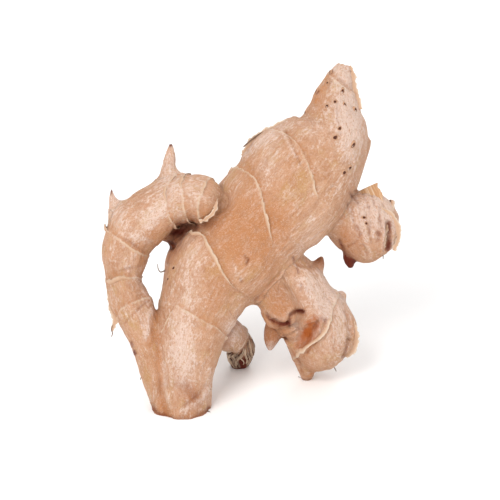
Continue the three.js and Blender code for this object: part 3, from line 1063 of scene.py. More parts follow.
@dataclass(frozen=True)
class ScarFinish:
    """A root scar: a pale collar round a dark pit, with brownish spots."""

    collar: Numbers = skin_tone(214, 166, 132)
    pit: Numbers = skin_tone(84, 36, 14)
    spots: Numbers = skin_tone(160, 108, 78)
    roughness: float = 0.62

    def build(self) -> bpy.types.Material:
        """Mixes collar and pit by the number on the mesh, and spots by noise.

        Returns:
            The material.
        """
        shader = Shader("root_scar")
        rough = shader.noise(shader.vector("flow"), 2.2, 3)
        layers = (shader.number("pit"), self.pit), (rough.rise(0.5, 0.75) * 0.4, self.spots)
        colour = shader.layered(self.collar, *layers)
        return shader.finish(colour, self.roughness, rough, 0.2, Specular_IOR_Level=0.3)


@dataclass(frozen=True)
class CutFinish:
    """The dried cut face under the foot: brownish, with the ends of fibres and darker rings in it."""

    flesh: Numbers = skin_tone(205, 172, 122)
    fibre: Numbers = skin_tone(146, 104, 66)
    ring: Numbers = skin_tone(170, 128, 84)
    roughness: float = 0.75

    def build(self) -> bpy.types.Material:
        """Mixes flesh, fibre ends and rings by noise in Object coordinates.

        Returns:
            The material.
        """
        shader = Shader("cut_face")
        place = shader.object_place()
        spots = shader.noise(place, 900, 3)
        rings = shader.noise(place, 160, 2)
        layers = (spots.rise(0.5, 0.68), self.fibre), (rings.rise(0.5, 0.7) * 0.4, self.ring)
        colour = shader.layered(self.flesh, *layers)
        return shader.finish(colour, self.roughness, spots, 0.3, Specular_IOR_Level=0.3)


@dataclass(frozen=True)
class FibreFinish:
    """Dry fibres, from pale straw to dark brown."""

    straw: Numbers = skin_tone(232, 204, 176)
    brown: Numbers = skin_tone(88, 46, 28)
    roughness: float = 0.7

    def build(self) -> bpy.types.Material:
        """Mixes straw and brown by the number on the mesh and by noise along the fibre.

        Returns:
            The material.
        """
        shader = Shader("dry_fibre")
        grain = shader.noise(shader.vector("flow"), 1.1, 3)
        colour = shader.layered(self.straw, (shader.number("dark") + 0.5 * grain - 0.25, self.brown))
        return shader.finish(colour, self.roughness, grain, 0.15, Specular_IOR_Level=0.3)


@dataclass(frozen=True)
class Patch:
    """A soft oval of one tint on the skin, seen from the front.

    Args:
        x: Middle, to the right, in mm.
        z: Middle, upwards, in mm.
        wide: Reach across, in mm.
        high: Reach upwards, in mm.
        turn: Turn to the left, in degrees.
        amount: Strength at the middle.
    """

    x: float
    z: float
    wide: float
    high: float
    turn: float
    amount: float

    def at(self, points: Array) -> Array:
        """Gives the tint at points: its strength times a bell of the turned and scaled distance.

        Args:
            points: Points of the hand in mm.

        Returns:
            The tint's strength.
        """
        cosine, sine = math.cos(math.radians(self.turn)), math.sin(math.radians(self.turn))
        right, up = points[:, 0] - self.x, points[:, 2] - self.z
        across = (right * cosine + up * sine) / self.wide
        upwards = (up * cosine - right * sine) / self.high
        return self.amount * bell(np.hypot(across, upwards))


# Pale dry patches, and painted highlights on the upper left of the finger and on the shaded stub.
PALE_AND_HIGHLIGHT_PATCHES = tuple(
    Patch(*row)
    for row in (
        (-21, 32, 5, 14, 0, 1), (-0.5, 35, 4, 6, 0, 0.9), (-17, 60, 4.5, 13, 0, 0.6),
        (-33, 80.5, 7, 3.5, 38, 0.7), (-16, 90, 7, 6, 0, 0.6), (30, 74, 5, 10, -30, 0.35),
        (46, 118, 5, 14, 0, 1.4), (45, 124, 6, 10, 0, 1.1), (30, 115, 6, 5, 0, 0.4), (44, 138, 4, 6, 0, 1),
        (10, 110.5, 13, 2.2, 32, 0.8), (53, 82, 8, 10, 0, 0.75), (60, 80, 6, 7, 0, 0.6),
        (38, 47, 10, 7, 0, 0.95), (31, 55, 8, 5, -20, 0.6), (-11, 12, 2.4, 8, 0, 0.5),
        (-36, 43, 3, 7, 0, 0.35), (-26, 100, 5, 12, 0, 0.75), (-48, 86, 4, 8, 0, 0.9),
        (41, 40, 5, 9, 20, 0.6), (14, 104, 4, 12, -10, 0.45), (57, 86, 5, 7, 0, 0.7),
        (14.6, 27.6, 2.6, 2.2, 0, 1.2), (-21, 26, 5, 8, 0, 0.5), (-20, 16, 4, 5, 0, 0.5),
        (40, 30, 7, 7, 0, 0.4), (-30, 86, 12, 6, 35, 0.35), (-43, 64, 4, 9, 0, 0.3),
    )
)
# Orange tone of the thin skin, and painted warm shade on the inner side of the finger and at the neck.
WARM_TONE_AND_SHADE_PATCHES = tuple(
    Patch(*row)
    for row in (
        (2, 72, 13, 13, 0, 1.2), (18, 78, 8, 8, 0, 0.6), (-8, 46, 7, 12, 0, 0.6), (22, 100, 9, 9, 0, 0.25),
        (28, 112, 4, 10, 0, 0.4), (-30, 72, 8, 6, 0, 0.6), (-13, 80, 9, 4, 0, 0.5), (18, 45, 8, 8, 0, 0.85),
        (47, 70, 8, 5, 0, 0.7), (16, 33, 5, 7, 0, 0.8), (-34, 27, 3.5, 12, 0, 0.4),
        (-17.4, 11, 4.4, 4, 0, 1), (-27, 3, 3, 4, 0, 0.7), (-18, -2, 12, 2, 0, 0.6), (5, 100, 4, 4, 0, 0.5),
        (-24, 66, 2.4, 6, 0, 0.7), (14.4, 31.4, 2.4, 2.2, 0, 1), (24, 36, 3, 4, -30, 0.5),
        (-9, 80, 3, 4, 0, 0.8), (8, 86, 10, 12, -40, 0.5), (14, 62, 9, 7, -40, 0.4),
        (33, 128, 4, 7, 0, 0.4),
    )
)
# The scoop's orange tone, partly painted shade in the hollow.
SCOOP_TONE_AND_SHADE_PATCH = Patch(29.4, 33.8, 3.9, 9, -32, 1)
STROKE_NOISE = Lattice(41)


class Tint(Enum):
    """What a stroke paints."""

    DARK = "dark"
    BROWN = "brown"
    PALE = "pale"
    WARM = "warm"


@dataclass(frozen=True)
class Stroke:
    """A line on the front of the skin that is pressed in or raised, and tinted.

    Args:
        tint: Its tint.
        strength: The tint's strength on the line.
        wide: Half width in mm.
        depth: How deep it is pressed in, in mm; raised if negative.
        path: Its corners, each as x and z in the hand, in mm.
    """

    tint: Tint
    strength: float
    wide: float
    depth: float
    path: Numbers

    def at(self, points: Array, front: Array, wander: Array, fading: Array) -> Array:
        """Gives the line's share at points: a bell of the distance to it, on skin that faces the front.

        Args:
            points: Points of the hand in mm.
            front: How much each faces the front.
            wander: Noise by which the line strays.
            fading: Noise by which it fades.

        Returns:
            The shares, from 0 to 1.
        """
        path = np.reshape(self.path, (-1, 2))
        flat = points[:, [0, 2]]
        nearest = np.full(len(points), np.inf)
        for start, step in zip(path, np.diff(path, axis=0)):
            share = np.clip(((flat - start) @ step) / (step @ step), 0, 1)
            nearest = np.minimum(nearest, np.linalg.norm(flat - start - share[:, None] * step, axis=1))
        distance = np.abs(nearest + wander * min(self.wide, 1.0))
        return bell(distance / self.wide) * front * fading


# Dark and brown strokes are partly real lines and pits, partly painted shade in hollows, under lips and on the
# neck.
STROKE_ROWS: dict[Tint, Rows] = {
    Tint.DARK: (
        (1, 3, 1.5, -24.4, 69.8, -23.6, 73.6, -21, 76.2, -18, 77.2),
        (1, 0.7, 1.1, 12.8, 41, 14, 39.4, 16.8, 38, 19.2, 37.4, 21.2, 37.8),
        (1, 0.75, 1.1, 21.2, 37.8, 22, 39.8, 22.6, 41.6, 24.6, 43, 27, 42.6),
        (1, 0.9, 0, -25.8, 110.6, -25.6, 109.2), (0.8, 0.7, 0, -49.2, 92, -49.4, 90),
        (0.7, 0.5, 0.3, 60.2, 64.4, 61.4, 63.8), (0.8, 0.6, 0.3, 8, 47.4, 9.2, 48.2),
        (0.7, 0.6, 0.3, 23.2, 64.4, 23.8, 62.4), (0.9, 0.5, 0.3, 38.6, 138.6, 38, 137.8),
        (0.8, 0.5, 0.3, 33.4, 130.6, 32.8, 129.8), (0.7, 0.5, 0.3, 47, 138, 47.2, 137),
        (0.7, 0.4, 0.3, 24.8, 60, 25.2, 58.2),
        (0.35, 0.7, 0.5, 33.2, 38.4, 31.2, 34.4, 28.8, 29.8, 26.6, 27.2),
        (0.9, 0.6, -0.3, -41.2, 30.4, -40.8, 29), (0.9, 0.6, -0.3, -40, 27, -39.8, 26),
        (0.6, 0.5, 0.3, 3.6, 65, 5.4, 63.4, 4.6, 61.6), (0.5, 0.5, 0.3, 2.2, 55.8, 2.8, 54.6),
        (0.9, 0.8, 0.5, 61.2, 77.4, 61.6, 74, 61.4, 69.4, 60.8, 67.4),
        (0.8, 0.6, 0.4, 41.6, 71.4, 43.6, 67.2, 44.8, 63), (0.5, 0.6, 0.5, 34.8, 39.8, 36.8, 39),
        (0.75, 0.9, 0.9, 46, 31, 45.2, 27.6, 43.6, 24.2),
        (0.7, 0.8, 0.3, 1.6, 40.4, 4.8, 38.4, 6.2, 34.4, 5.4, 29.8, 3.2, 26.8, 0.8, 23),
        (1, 1, 0.6, -1.8, 25, -0.6, 23.6),
    ),
    Tint.BROWN: (
        (0.8, 1, 0.5, -25, 69, -26, 66, -26.4, 62.4), (0.6, 2.2, 0.3, -16.8, 76, -12, 76, -8, 78.4),
        (0.7, 1.4, 0.3, 16, 38.6, 18.8, 37.2, 21.6, 37.8), (0.4, 1.2, 0, 26, 43.2, 27.6, 41.4),
        (0.22, 5, 0, 17, 52, 22, 46), (0.5, 0.35, 0.35, 51.6, 85, 52.8, 78, 54.6, 69.6),
        (0.5, 0.35, 0.35, 57.8, 80, 58.8, 75.6), (0.45, 0.35, 0.35, 48.6, 77.4, 50.8, 70, 53, 65.4),
        (0.4, 0.35, 0.3, 46.6, 84, 47.4, 78, 49, 73), (0.5, 0.5, 0.3, 17.6, 36.4, 19.4, 33.4, 20.6, 31.4),
        (0.6, 0.5, 0.4, 24.8, 24.6, 26, 21.6, 27, 18),
        (0.5, 0.6, 0.2, 23.6, 61.6, 26, 61, 30, 60.4, 33.4, 63), (0.3, 0.45, 0.3, 28, 52.6, 30, 48.6),
        (0.25, 0.4, 0.3, 36, 50, 39, 45, 40.4, 40), (0.25, 0.4, 0.25, 38, 36, 40, 31, 39.6, 27),
        (0.2, 4.5, 0, -22, 14, -17, 8), (0.14, 4.5, 0, 50, 74, 54, 71), (0.14, 4, 0, -46, 60, -45, 48),
        (0.5, 0.5, 0.4, 41.8, 135.6, 43.8, 133.6, 45.8, 131), (0.5, 0.5, 0.3, 38.4, 135, 37.2, 132),
        (0.4, 0.5, 0.4, 40.6, 125.6, 40.8, 120, 42, 113),
        (0.5, 0.5, 0.4, 9.4, 48.6, 12, 51.2, 14, 53.6, 18, 58),
        (0.5, 0.5, 0.4, 36.2, 38.6, 34.4, 34.4, 31.6, 29.2, 29, 26),
        (0.4, 0.6, 0.3, -27.4, 2, -28.6, 5.2, -29.6, 12, -30.2, 18),
        (0.3, 0.5, 0.3, -33, 34, -31.6, 40, -32, 46), (0.5, 2, 0.2, -19.4, 13, -16.4, 9.4),
        (1.3, 1, 1, 61.2, 78.4, 61.8, 75, 61.8, 71, 61, 67.6),
        (1.1, 0.9, 0.6, 57.4, 74, 57.8, 72.6, 57.4, 71.4), (0.5, 0.6, 0.2, 57.4, 71.4, 56, 69.8),
        (0.45, 0.35, 0.4, 53.4, 92.4, 55.4, 87, 56.2, 83),
        (0.45, 0.35, 0.4, 50.2, 91.6, 52, 87.6, 53.6, 84.4), (0.7, 0.6, 0.5, 45.6, 90, 47.2, 88.4, 49, 86),
        (0.35, 0.35, 0.3, 59.2, 86, 60.2, 82), (0.35, 0.35, 0.3, 49, 86, 50, 80.4),
        (0.35, 0.35, 0.3, 55.2, 81, 55.6, 76), (0.4, 0.5, 0.3, 44.8, 86, 45.4, 82, 47.6, 79),
        (0.5, 0.4, 0.3, 45.2, 68.6, 48, 70, 50.4, 73.6), (0.45, 0.5, 0.4, 57.8, 84, 57.6, 77, 56.4, 74.6),
        (0.5, 0.5, 0.3, 53.4, 84, 54, 78.6, 53.4, 73), (0.3, 0.5, 0.3, 46.6, 74, 50, 70, 54, 66.4),
        (0.4, 0.6, 0.3, 26.6, 53.4, 26.2, 51), (0.35, 0.7, 0.3, 20, 53, 22, 51.4),
        (0.6, 0.6, 0.5, 44.4, 42.8, 46, 39.2), (0.3, 0.6, 0.3, -11.6, 13.4, -14.4, 9.4, -20, 5.4),
        (1, 1.1, 0.8, -33.6, 4.4, -30, 1.2, -26, 0, -20, -0.4, -14, 0.6, -10, 4),
        (0.6, 1, 0.3, -34, 4, -26, -0.6, -18, -1, -9.6, 3),
        (0.4, 0.45, 0.35, 20, 114.4, 22, 111.2, 23.6, 106.6, 26, 101),
        (0.35, 0.5, 0.3, 6.8, 109.4, 4.8, 105.6), (0.5, 0.45, 0.35, -43.4, 71.6, -40, 69.4, -36, 66.6),
        (0.45, 0.45, 0.3, -46, 58.8, -41, 60.2, -37, 60.8), (0.5, 0.4, 0.35, -44, 38, -38, 44, -34, 47.2),
        (0.35, 0.8, 0.4, 12.8, 49, 9.6, 47.8),
    ),
    Tint.PALE: (
        (0.5, 2.2, 0, 23.6, 38, 25, 34.6, 26.6, 31.4), (0.8, 0.8, -0.3, 59.4, 79.4, 60, 75, 59.6, 70),
        (1, 1, -0.4, 40, 139.6, 43, 138.4, 45, 134), (0.9, 0.9, -0.3, 41.6, 125, 42, 119, 43.2, 112.6),
        (0.5, 0.8, -0.3, 12.4, 43.2, 16.4, 39.8, 19, 39.2, 20.4, 41.2, 22.4, 43.8),
        (0.9, 0.7, -0.5, 35, 39.6, 33, 34.4, 30.4, 29.6, 28, 26.8, 25.6, 24.8),
        (0.8, 0.9, -0.2, -35.6, 32, -34.6, 38, -33.6, 43), (0.7, 0.8, -0.3, -28.4, 22, -27.6, 12, -25.6, 5),
        (0.6, 0.5, -0.15, -0.8, 62, 1, 58, 2.4, 55.6), (0.8, 0.8, -0.3, 63.2, 79.6, 63.6, 74, 62.8, 67.6),
        (0.9, 1.6, -0.3, 58.4, 90, 61, 84, 62.4, 78),
        (0.7, 1, -0.2, 50, 84.4, 51.2, 78, 52.6, 70, 54.4, 65),
        (0.9, 1.8, -0.3, 28, 54, 32.4, 48, 36, 40.6), (0.5, 1.2, -0.2, 33.2, 59, 37, 52, 42, 46),
        (0.7, 0.9, -0.35, -10.6, 12, -13.2, 8, -16, 5.6, -21, 3.4),
        (0.8, 0.7, -0.2, 18.6, 115, 21, 109.4, 24, 104),
        (0.7, 1.6, -0.2, -33.2, 77.6, -30, 81.6, -26.6, 86.6, -25.4, 92),
        (0.8, 1.4, -0.2, -44.4, 74, -39, 72.4, -34.4, 70.6),
        (0.7, 1.2, -0.2, -40, 57.4, -36, 50, -33.6, 46),
    ),
    Tint.WARM: (
        (0.9, 1.6, 0, 29, 21, 31, 18, 30, 15.6), (1, 2, 0, 31, 58, 34, 62.6),
        (0.9, 1.4, 0, 37.6, 137, 35.4, 132, 32, 126.4), (0.8, 1.4, 0.2, 24.4, 43, 27.6, 42.4, 28.4, 40.8),
        (1, 1.6, 0.5, -27, 0, -28.4, 5.2, -29.6, 12, -30.4, 20, -30.2, 30, -31, 40),
        (0.8, 0.8, -0.3, -33.6, 30, -32.6, 36, -31.4, 42), (0.9, 1, -0.4, 55, 92.4, 56.8, 87, 57.4, 81),
        (0.8, 0.7, -0.3, 51.6, 92, 53.6, 87.4, 55, 84), (0.8, 0.7, -0.3, 48.6, 91.2, 50.4, 88, 52.4, 84.8),
        (0.8, 1.8, 0.2, 43.4, 80, 44, 74, 43.4, 68), (0.6, 1.2, 0, 24.4, 50, 28.6, 43.4, 31.6, 39.6),
        (1, 1, 0.2, 46.6, 37.6, 47, 33.6), (0.7, 1.2, 0.2, 16.4, 114.6, 18.6, 111),
        (0.8, 1, -0.2, -39.6, 81.4, -34.6, 85, -31.6, 88.6), (0.7, 1, 0, -37, 64, -36.4, 58.4),
    ),
}
STROKES = tuple(Stroke(tint, *row[:3], row[3:]) for tint, rows in STROKE_ROWS.items() for row in rows)


def stroke_shares(points: Array, normals: Array) -> Array:
    """Gives the share of every stroke at points.

    Args:
        points: Points of the hand in mm.
        normals: Their normals in the hand.

    Returns:
        One row of shares for each stroke.
    """
    front = ramp(-normals[:, 1], -0.35, 0.05)
    wander = 0.55 * STROKE_NOISE.at(points, 0.5) + 0.35 * STROKE_NOISE.at(points, 1.5)
    fading = np.clip(0.8 + 0.5 * STROKE_NOISE.at(points + 40, 0.35), 0.25, 1.15)
    return np.stack([stroke.at(points, front, wander, fading) for stroke in STROKES])


@dataclass(frozen=True)
class Blend:
    """Two limbs whose joint is filled in smoothly.

    Args:
        first: One limb's number.
        second: The other's.
        low: The height in the hand where the filling starts or ends, in mm.
        high: The height where it is full, in mm; less than low if it fades upwards.
        reach: How far from the joint it works, in mm.
        strength: Its strength.
    """

    first: int
    second: int
    low: float
    high: float
    reach: float
    strength: float


BLENDS = tuple(
    Blend(*row)
    for row in (
        (0, 1, 46, 36, 5, 0.95), (2, 3, 41, 46, 6, 0.98), (0, 2, 40, 46, 5, 0.95), (0, 3, 40, 46, 5, 0.95),
        (0, 4, 60, 66, 3, 0.6), (1, 6, 80, 88, 5, 0.9), (1, 7, 70, 76, 4, 0.8), (3, 17, 60, 50, 4, 0.9),
        (4, 13, 80, 84, 3, 0.7),
    )
)

# Limbs whose grain runs on from one into the other, and limbs that take grain and sheaths from another limb.
SHARED_GRAIN = ((0, 1), (2, 3))
GRAIN_HOSTS = {9: 3, 11: 3, 12: 3, 13: 4, 15: 0, 16: 3, 17: 3}
SHEATH_HOSTS = {2: 3, **GRAIN_HOSTS}
# How far the grain of each limb is moved in the noise, in mm: along, by its number, except for shared grain.
GRAIN_SHIFT = 211.0
GRAIN_SHIFTS = {0: (0, 0, 0), 1: (-18, 0, 0), 2: (-18, 0, 633), 3: (0, 0, 633)}


@dataclass(frozen=True)
class Survey:
    """What is known of each point of the skin.

    Args:
        flow: Its place on the limb as if that were straight: across, inwards and along, in mm.
        gap: Distance over the nearest leaf scar, in mm; negative below it.
        proud: How far the sheath stands out, in mm.
        crease: Nearness of another limb, from 0 to 1.
        owner: Number of the limb that it lies on.
        other: Number of the next nearest limb.
        apart: Height over that limb in mm.
        share: Distance along its own limb as a share of the length.
    """

    flow: Array
    gap: Array
    proud: Array
    crease: Array
    owner: Array
    other: Array
    apart: Array
    share: Array

    def owned_by(self, limbs: Sequence[int]) -> Array:
        """Returns which points lie on some limbs."""
        return np.isin(self.owner, limbs)

    def beside(self, limbs: Sequence[int]) -> Array:
        """Returns which points have one of some limbs as the next nearest."""
        return np.isin(self.other, limbs)


class Growth:
    """The limbs and buds, and the noise that makes their scars ragged."""

    def __init__(self) -> None:
        """Lists the limbs and seeds the noise."""
        self.limbs = (*LIMBS, *BUDS)
        self.noise = Lattice(11)

    def ragged(self, straight: Array, ring: int) -> Array:
        """Gives how far a torn scar line strays along the limb: two noises, of 2.6 mm and of 0.9 mm.

        Args:
            straight: Places across, inwards and along the straightened limb, in mm.
            ring: The ring's number.

        Returns:
            The stray in mm.
        """
        spot = straight * (1, 1, 0) + (0, 0, 37.0 * ring)
        return 0.42 * self.noise.at(spot, 0.38) + 0.2 * self.noise.at(spot, 1.1)

    def survey(self, points: Array) -> Survey:
        """Works out what is known of points on the skin.

        A point belongs to the limb whose skin is nearest, and its crease is a bell of its height over the
        second nearest. Where two limbs share their grain, flow and sheath cross over smoothly between them.

        Args:
            points: Points of the hand in mm.

        Returns:
            The survey.
        """
        places = [limb.place(points) for limb in self.limbs]
        heights = np.abs(np.stack([place.off for place in places]))
        owner, other = np.argsort(heights, axis=0)[:2]
        count = len(points)
        first, second = (heights[limbs, np.arange(count)] for limbs in (owner, other))
        flow, share = np.zeros((count, 3)), np.zeros(count)
        gap, proud = np.full(count, 99.0), np.zeros(count)
        for number, place in enumerate(places):
            mine = owner == number
            share[mine] = place.along[mine] / self.limbs[number].spine.length
            host = SHEATH_HOSTS.get(number, number)
            if self.limbs[host].rings:
                gap[mine], proud[mine] = self.sheath(host, places[host], mine)
            host = GRAIN_HOSTS.get(number, number)
            flow[mine] = self.straightened(host, places[host], points, mine)
        for near, far in (*SHARED_GRAIN, *(pair[::-1] for pair in SHARED_GRAIN)):
            both = (owner == near) & (other == far)
            weight = 0.5 * np.exp(-(second - first) / 1.5)[both]
            flow[both] += (self.straightened(far, places[far], points, both) - flow[both]) * weight[:, None]
            host = SHEATH_HOSTS.get(far, far)
            proud[both] += (self.sheath(host, places[host], both)[1] - proud[both]) * weight
        return Survey(flow, gap, proud, bell(second / 2.0), owner, other, second, share)

    def straightened(self, number: int, place: Place, points: Array, mine: Array) -> Array:
        """Gives points as if their limb were straight and its grain ran up, with the shift of the limb.

        Args:
            number: The limb's number.
            place: Where all points lie on it.
            points: Points of the hand in mm.
            mine: Which of them are asked for.

        Returns:
            Places across, inwards and along, in mm.
        """
        shift = np.array(GRAIN_SHIFTS.get(number, (0, 0, GRAIN_SHIFT * number)))
        grain_deg = self.limbs[number].grain_deg
        if grain_deg is None:
            return on_straight(place.angle[mine], place.radius[mine], place.along[mine]) + shift
        cosine, sine = math.cos(math.radians(grain_deg)), math.sin(math.radians(grain_deg))
        right, back, up = points[mine].T
        return np.column_stack([right * sine - up * cosine, back, right * cosine + up * sine]) + shift

    def sheath(self, number: int, place: Place, mine: Array) -> tuple[Array, Array]:
        """Measures points against the leaf scars of one limb.

        Between scars the sheath rises evenly to its full step and bulges by a squared sine. Just below a
        scar it curls up by a bell of the distance, and past the scar it drops. A healed scar evens out.

        Args:
            number: The limb's number.
            place: Where all points lie on it.
            mine: Which of them are asked for.

        Returns:
            The gap to the nearest scar, and how far the sheath stands out.
        """
        reach, angle = place.along[mine], place.angle[mine]
        straight = on_straight(angle, place.radius[mine], reach)
        rings, every = self.limbs[number].rings, np.arange(len(reach))
        lines = [ring_at(ring, angle) + self.ragged(straight, order) for order, ring in enumerate(rings)]
        gaps = reach - np.stack(lines)
        nearest = np.abs(gaps).argmin(axis=0)
        gap = gaps[nearest, every]
        gone = np.stack([healed(ring, angle) for ring in rings])[nearest, every]
        above = np.where(gaps > 0, gaps, np.inf).min(axis=0)
        below = np.where(gaps <= 0, -gaps, np.inf).min(axis=0)
        start = np.where(np.isfinite(above), above, reach)
        rising = np.clip(np.where(np.isfinite(below), start / (start + below + 1e-9), 0.0), 0, 1)
        dropping = np.clip(1 - above / LIP_LENGTH, 0, 1)
        raised = SHEATH_STEP * np.maximum(rising, dropping)
        proud = raised + CURL * bell(below / CURL_REACH) + BULGE * np.sin(math.pi * rising) ** 2
        return gap * (1 + 20 * gone), proud + (HEALED_SHARE * SHEATH_STEP - proud) * gone


# Thin limbs, the limbs that meet in the neck and those of the lower lobe, where the painted crease shade is
# lighter.
THIN_LIMBS = (6, 7, 9, 11, 12, 13, 15, 16, 17)
NECK_LIMBS = (0, 2, 3, 17)
LOBE_LIMBS = (3, 16)
# Dried tips: the limb, the share of its length where the tip starts, and how dark it is.
DARK_TIPS = (
    ("dark bud under the upper lobe", 0.45, 1.2),
    ("bud on top of the finger", 0.93, 0.8),
    ("spike at the finger's bend", 0.85, 0.6),
    ("first sheath tip on the lower lobe", 0.6, 0.5),
    ("small bud under the lower lobe", 0.1, 0.25),
    ("resting tip of the lower lobe", 0.75, 0.6),
    ("fibrous stub", 0.62, 1.4),
    ("scar of a lobe broken off the back", 0.8, 0.5),
)


@dataclass
class Skin:
    """The root's whole skin as one closed mesh.

    Args:
        voxel_mm: Size of the cells in which the limbs are grown together.
        row_step: Distance between the rows of points of a limb before that, in mm.
        sides: Points round a limb before that.
        lumps_mm: Height of the broad lumps.
        ridges_mm: Height of the lengthwise ridges.
        rings_mm: Height of the fine rings.
        hollow_share: How much of a hollow's depth is pressed in.
        tip_length: How soon a dried tip is fully dark, as a share of the limb.
        crease_shades: How dark the painted shade in the crease is in general, on the lower lobe, between
            necks and at thin limbs.
        finger_crease_shades: The same on the main joint and on the finger, where these two meet.
    """

    voxel_mm: float = 0.65
    row_step: float = 0.9
    sides: int = 110
    lumps_mm: float = 0.5
    ridges_mm: float = 0.26
    rings_mm: float = 0.12
    hollow_share: float = 0.75
    tip_length: float = 0.3
    crease_shades: Numbers = (0.6, 0.2, 0.15, 0.1)
    finger_crease_shades: Numbers = (0.35, 0.0)

    def grown_together(self) -> bpy.types.Mesh:
        """Turns the overlapping closed skins of all limbs and buds into one skin, cell by cell.

        Returns:
            The one skin.
        """
        points, faces = joined([limb.closed_skin(self.row_step, self.sides) for limb in (*LIMBS, *BUDS)])
        mesh = mesh_from("limbs", points * MM, faces)
        rough = add_object("limbs", mesh)
        remesh = rough.modifiers.new("one_skin", "REMESH")
        remesh.mode = "VOXEL"
        remesh.voxel_size = self.voxel_mm * MM
        evaluated = rough.evaluated_get(bpy.context.evaluated_depsgraph_get())
        single = bpy.data.meshes.new_from_object(evaluated)
        bpy.data.objects.remove(rough)
        bpy.data.meshes.remove(mesh)
        return single

    def softened(self, points: Array, edges: Array, share: Array, rounds: int) -> Array:
        """Moves each point some rounds towards the mean of its neighbours.

        Args:
            points: The points.
            edges: Pairs of neighbours.
            share: How far each point moves, from 0 to 1.
            rounds: How often.

        Returns:
            The moved points.
        """
        first, second = edges.T
        count = np.bincount(edges.ravel(), minlength=len(points))
        for _ in range(rounds):
            mean = np.empty_like(points)
            for axis in range(3):
                total = np.bincount(first, points[second, axis], len(points))
                total += np.bincount(second, points[first, axis], len(points))
                mean[:, axis] = total / count
            points = points + (mean - points) * share[:, None]
        return points

    def blending(self, points: Array, survey: Survey) -> Array:
        """Gives how strongly each point is drawn into the smooth filling of a joint between two limbs.

        Args:
            points: Points of the hand in mm.
            survey: What is known of them.

        Returns:
            The strength from 0 to 1.
        """
        strength = np.zeros(len(points))
        for blend in BLENDS:
            pair = [blend.first, blend.second]
            level = (points[:, 2] - blend.low) / (blend.high - blend.low)
            near = bell(survey.apart / blend.reach) * ramp(level, 0, 1) * survey.owned_by(pair)
            strength = np.maximum(strength, blend.strength * near * survey.beside(pair))
        return strength

    def relief(self, points: Array, survey: Survey) -> Array:
        """Gives the height that the skin gains: the sheaths, broad lumps, lengthwise ridges and fine rings.

        Args:
            points: Points of the hand in mm.
            survey: What is known of them.

        Returns:
            Heights in mm.
        """
        noise, flow = Lattice(5), survey.flow
        lumps = noise.at(points, 0.075) + 0.5 * noise.at(points, 0.17)
        ridges = noise.at(flow * (1, 1, 0.16), 0.42) + 0.5 * noise.at(flow * (1, 1, 0.3), 0.95)
        rings = noise.at(flow * (0.12, 0.12, 1), 0.5) - 1
        raised = survey.proud + self.lumps_mm * lumps + self.ridges_mm * ridges + self.rings_mm * rings
        return (1 - 0.6 * survey.crease) * raised

    def hollowed(self, points: Array, normals: Array) -> Array:
        """Presses the hollows into the skin, each as deep as half an ellipse across its width.

        Args:
            points: Points of the hand in mm.
            normals: Their normals in the hand.

        Returns:
            The pressed points.
        """
        for hollow in HOLLOWS:
            along = hollow.place(points).along
            values, _, sideways, _ = hollow.spine.sections(along)
            offset = points - values[:, :3]
            across = dots(offset, sideways) / (values[:, 3] * 1.3)
            near = np.linalg.norm(offset, axis=1) < values[:, 3:].max(axis=1) * 1.6
            inside = near & (np.abs(across) < 1) & (along > 0.05) & (along < hollow.spine.length - 0.05)
            depth = np.where(inside, values[:, 4] * np.clip(1 - across**2, 0, 1), 0)
            points = points - normals * depth[:, None] * self.hollow_share
        return points

    def trimmed(self, mesh: bpy.types.Mesh) -> None:
        """Cuts the mesh flat at the floor and closes the cuts with flat faces.

        Args:
            mesh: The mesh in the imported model's frame.
        """
        work = bmesh.new()
        work.from_mesh(mesh)
        everything = work.verts[:] + work.edges[:] + work.faces[:]
        floor = {"plane_co": (0, 0, 0), "plane_no": (0, 0, -1)}
        cut = bmesh.ops.bisect_plane(work, geom=everything, clear_outer=True, **floor)
        rim = [part for part in cut["geom_cut"] if isinstance(part, bmesh.types.BMEdge)]
        caps = bmesh.ops.holes_fill(work, edges=rim, sides=0)["faces"]
        for cap in caps:
            cap.smooth = False
            cap.material_index = 1
        bmesh.ops.triangulate(work, faces=caps)
        bmesh.ops.triangulate(work, faces=[face for face in work.faces if len(face.verts) > 4])
        work.to_mesh(mesh)
        work.free()
        mesh.update()

    def crease_shade_shares(self, survey: Survey) -> Array:
        """Chooses how dark the painted shade in the crease between each point's two nearest limbs is.

        Args:
            survey: What is known of the points.

        Returns:
            The shares, from 0 to 1.
        """
        general, lobe, neck, thin = self.crease_shades
        necks = survey.owned_by(NECK_LIMBS) & survey.beside(NECK_LIMBS)
        share = np.where(necks, neck, general)
        share = np.where(survey.owned_by(THIN_LIMBS) | survey.beside(THIN_LIMBS), thin, share)
        share = np.where(survey.owned_by(LOBE_LIMBS) & ~necks, lobe, share)
        for owner, value in enumerate(self.finger_crease_shades):
            share = np.where((survey.owner == owner) & (survey.other == 1 - owner), value, share)
        return share

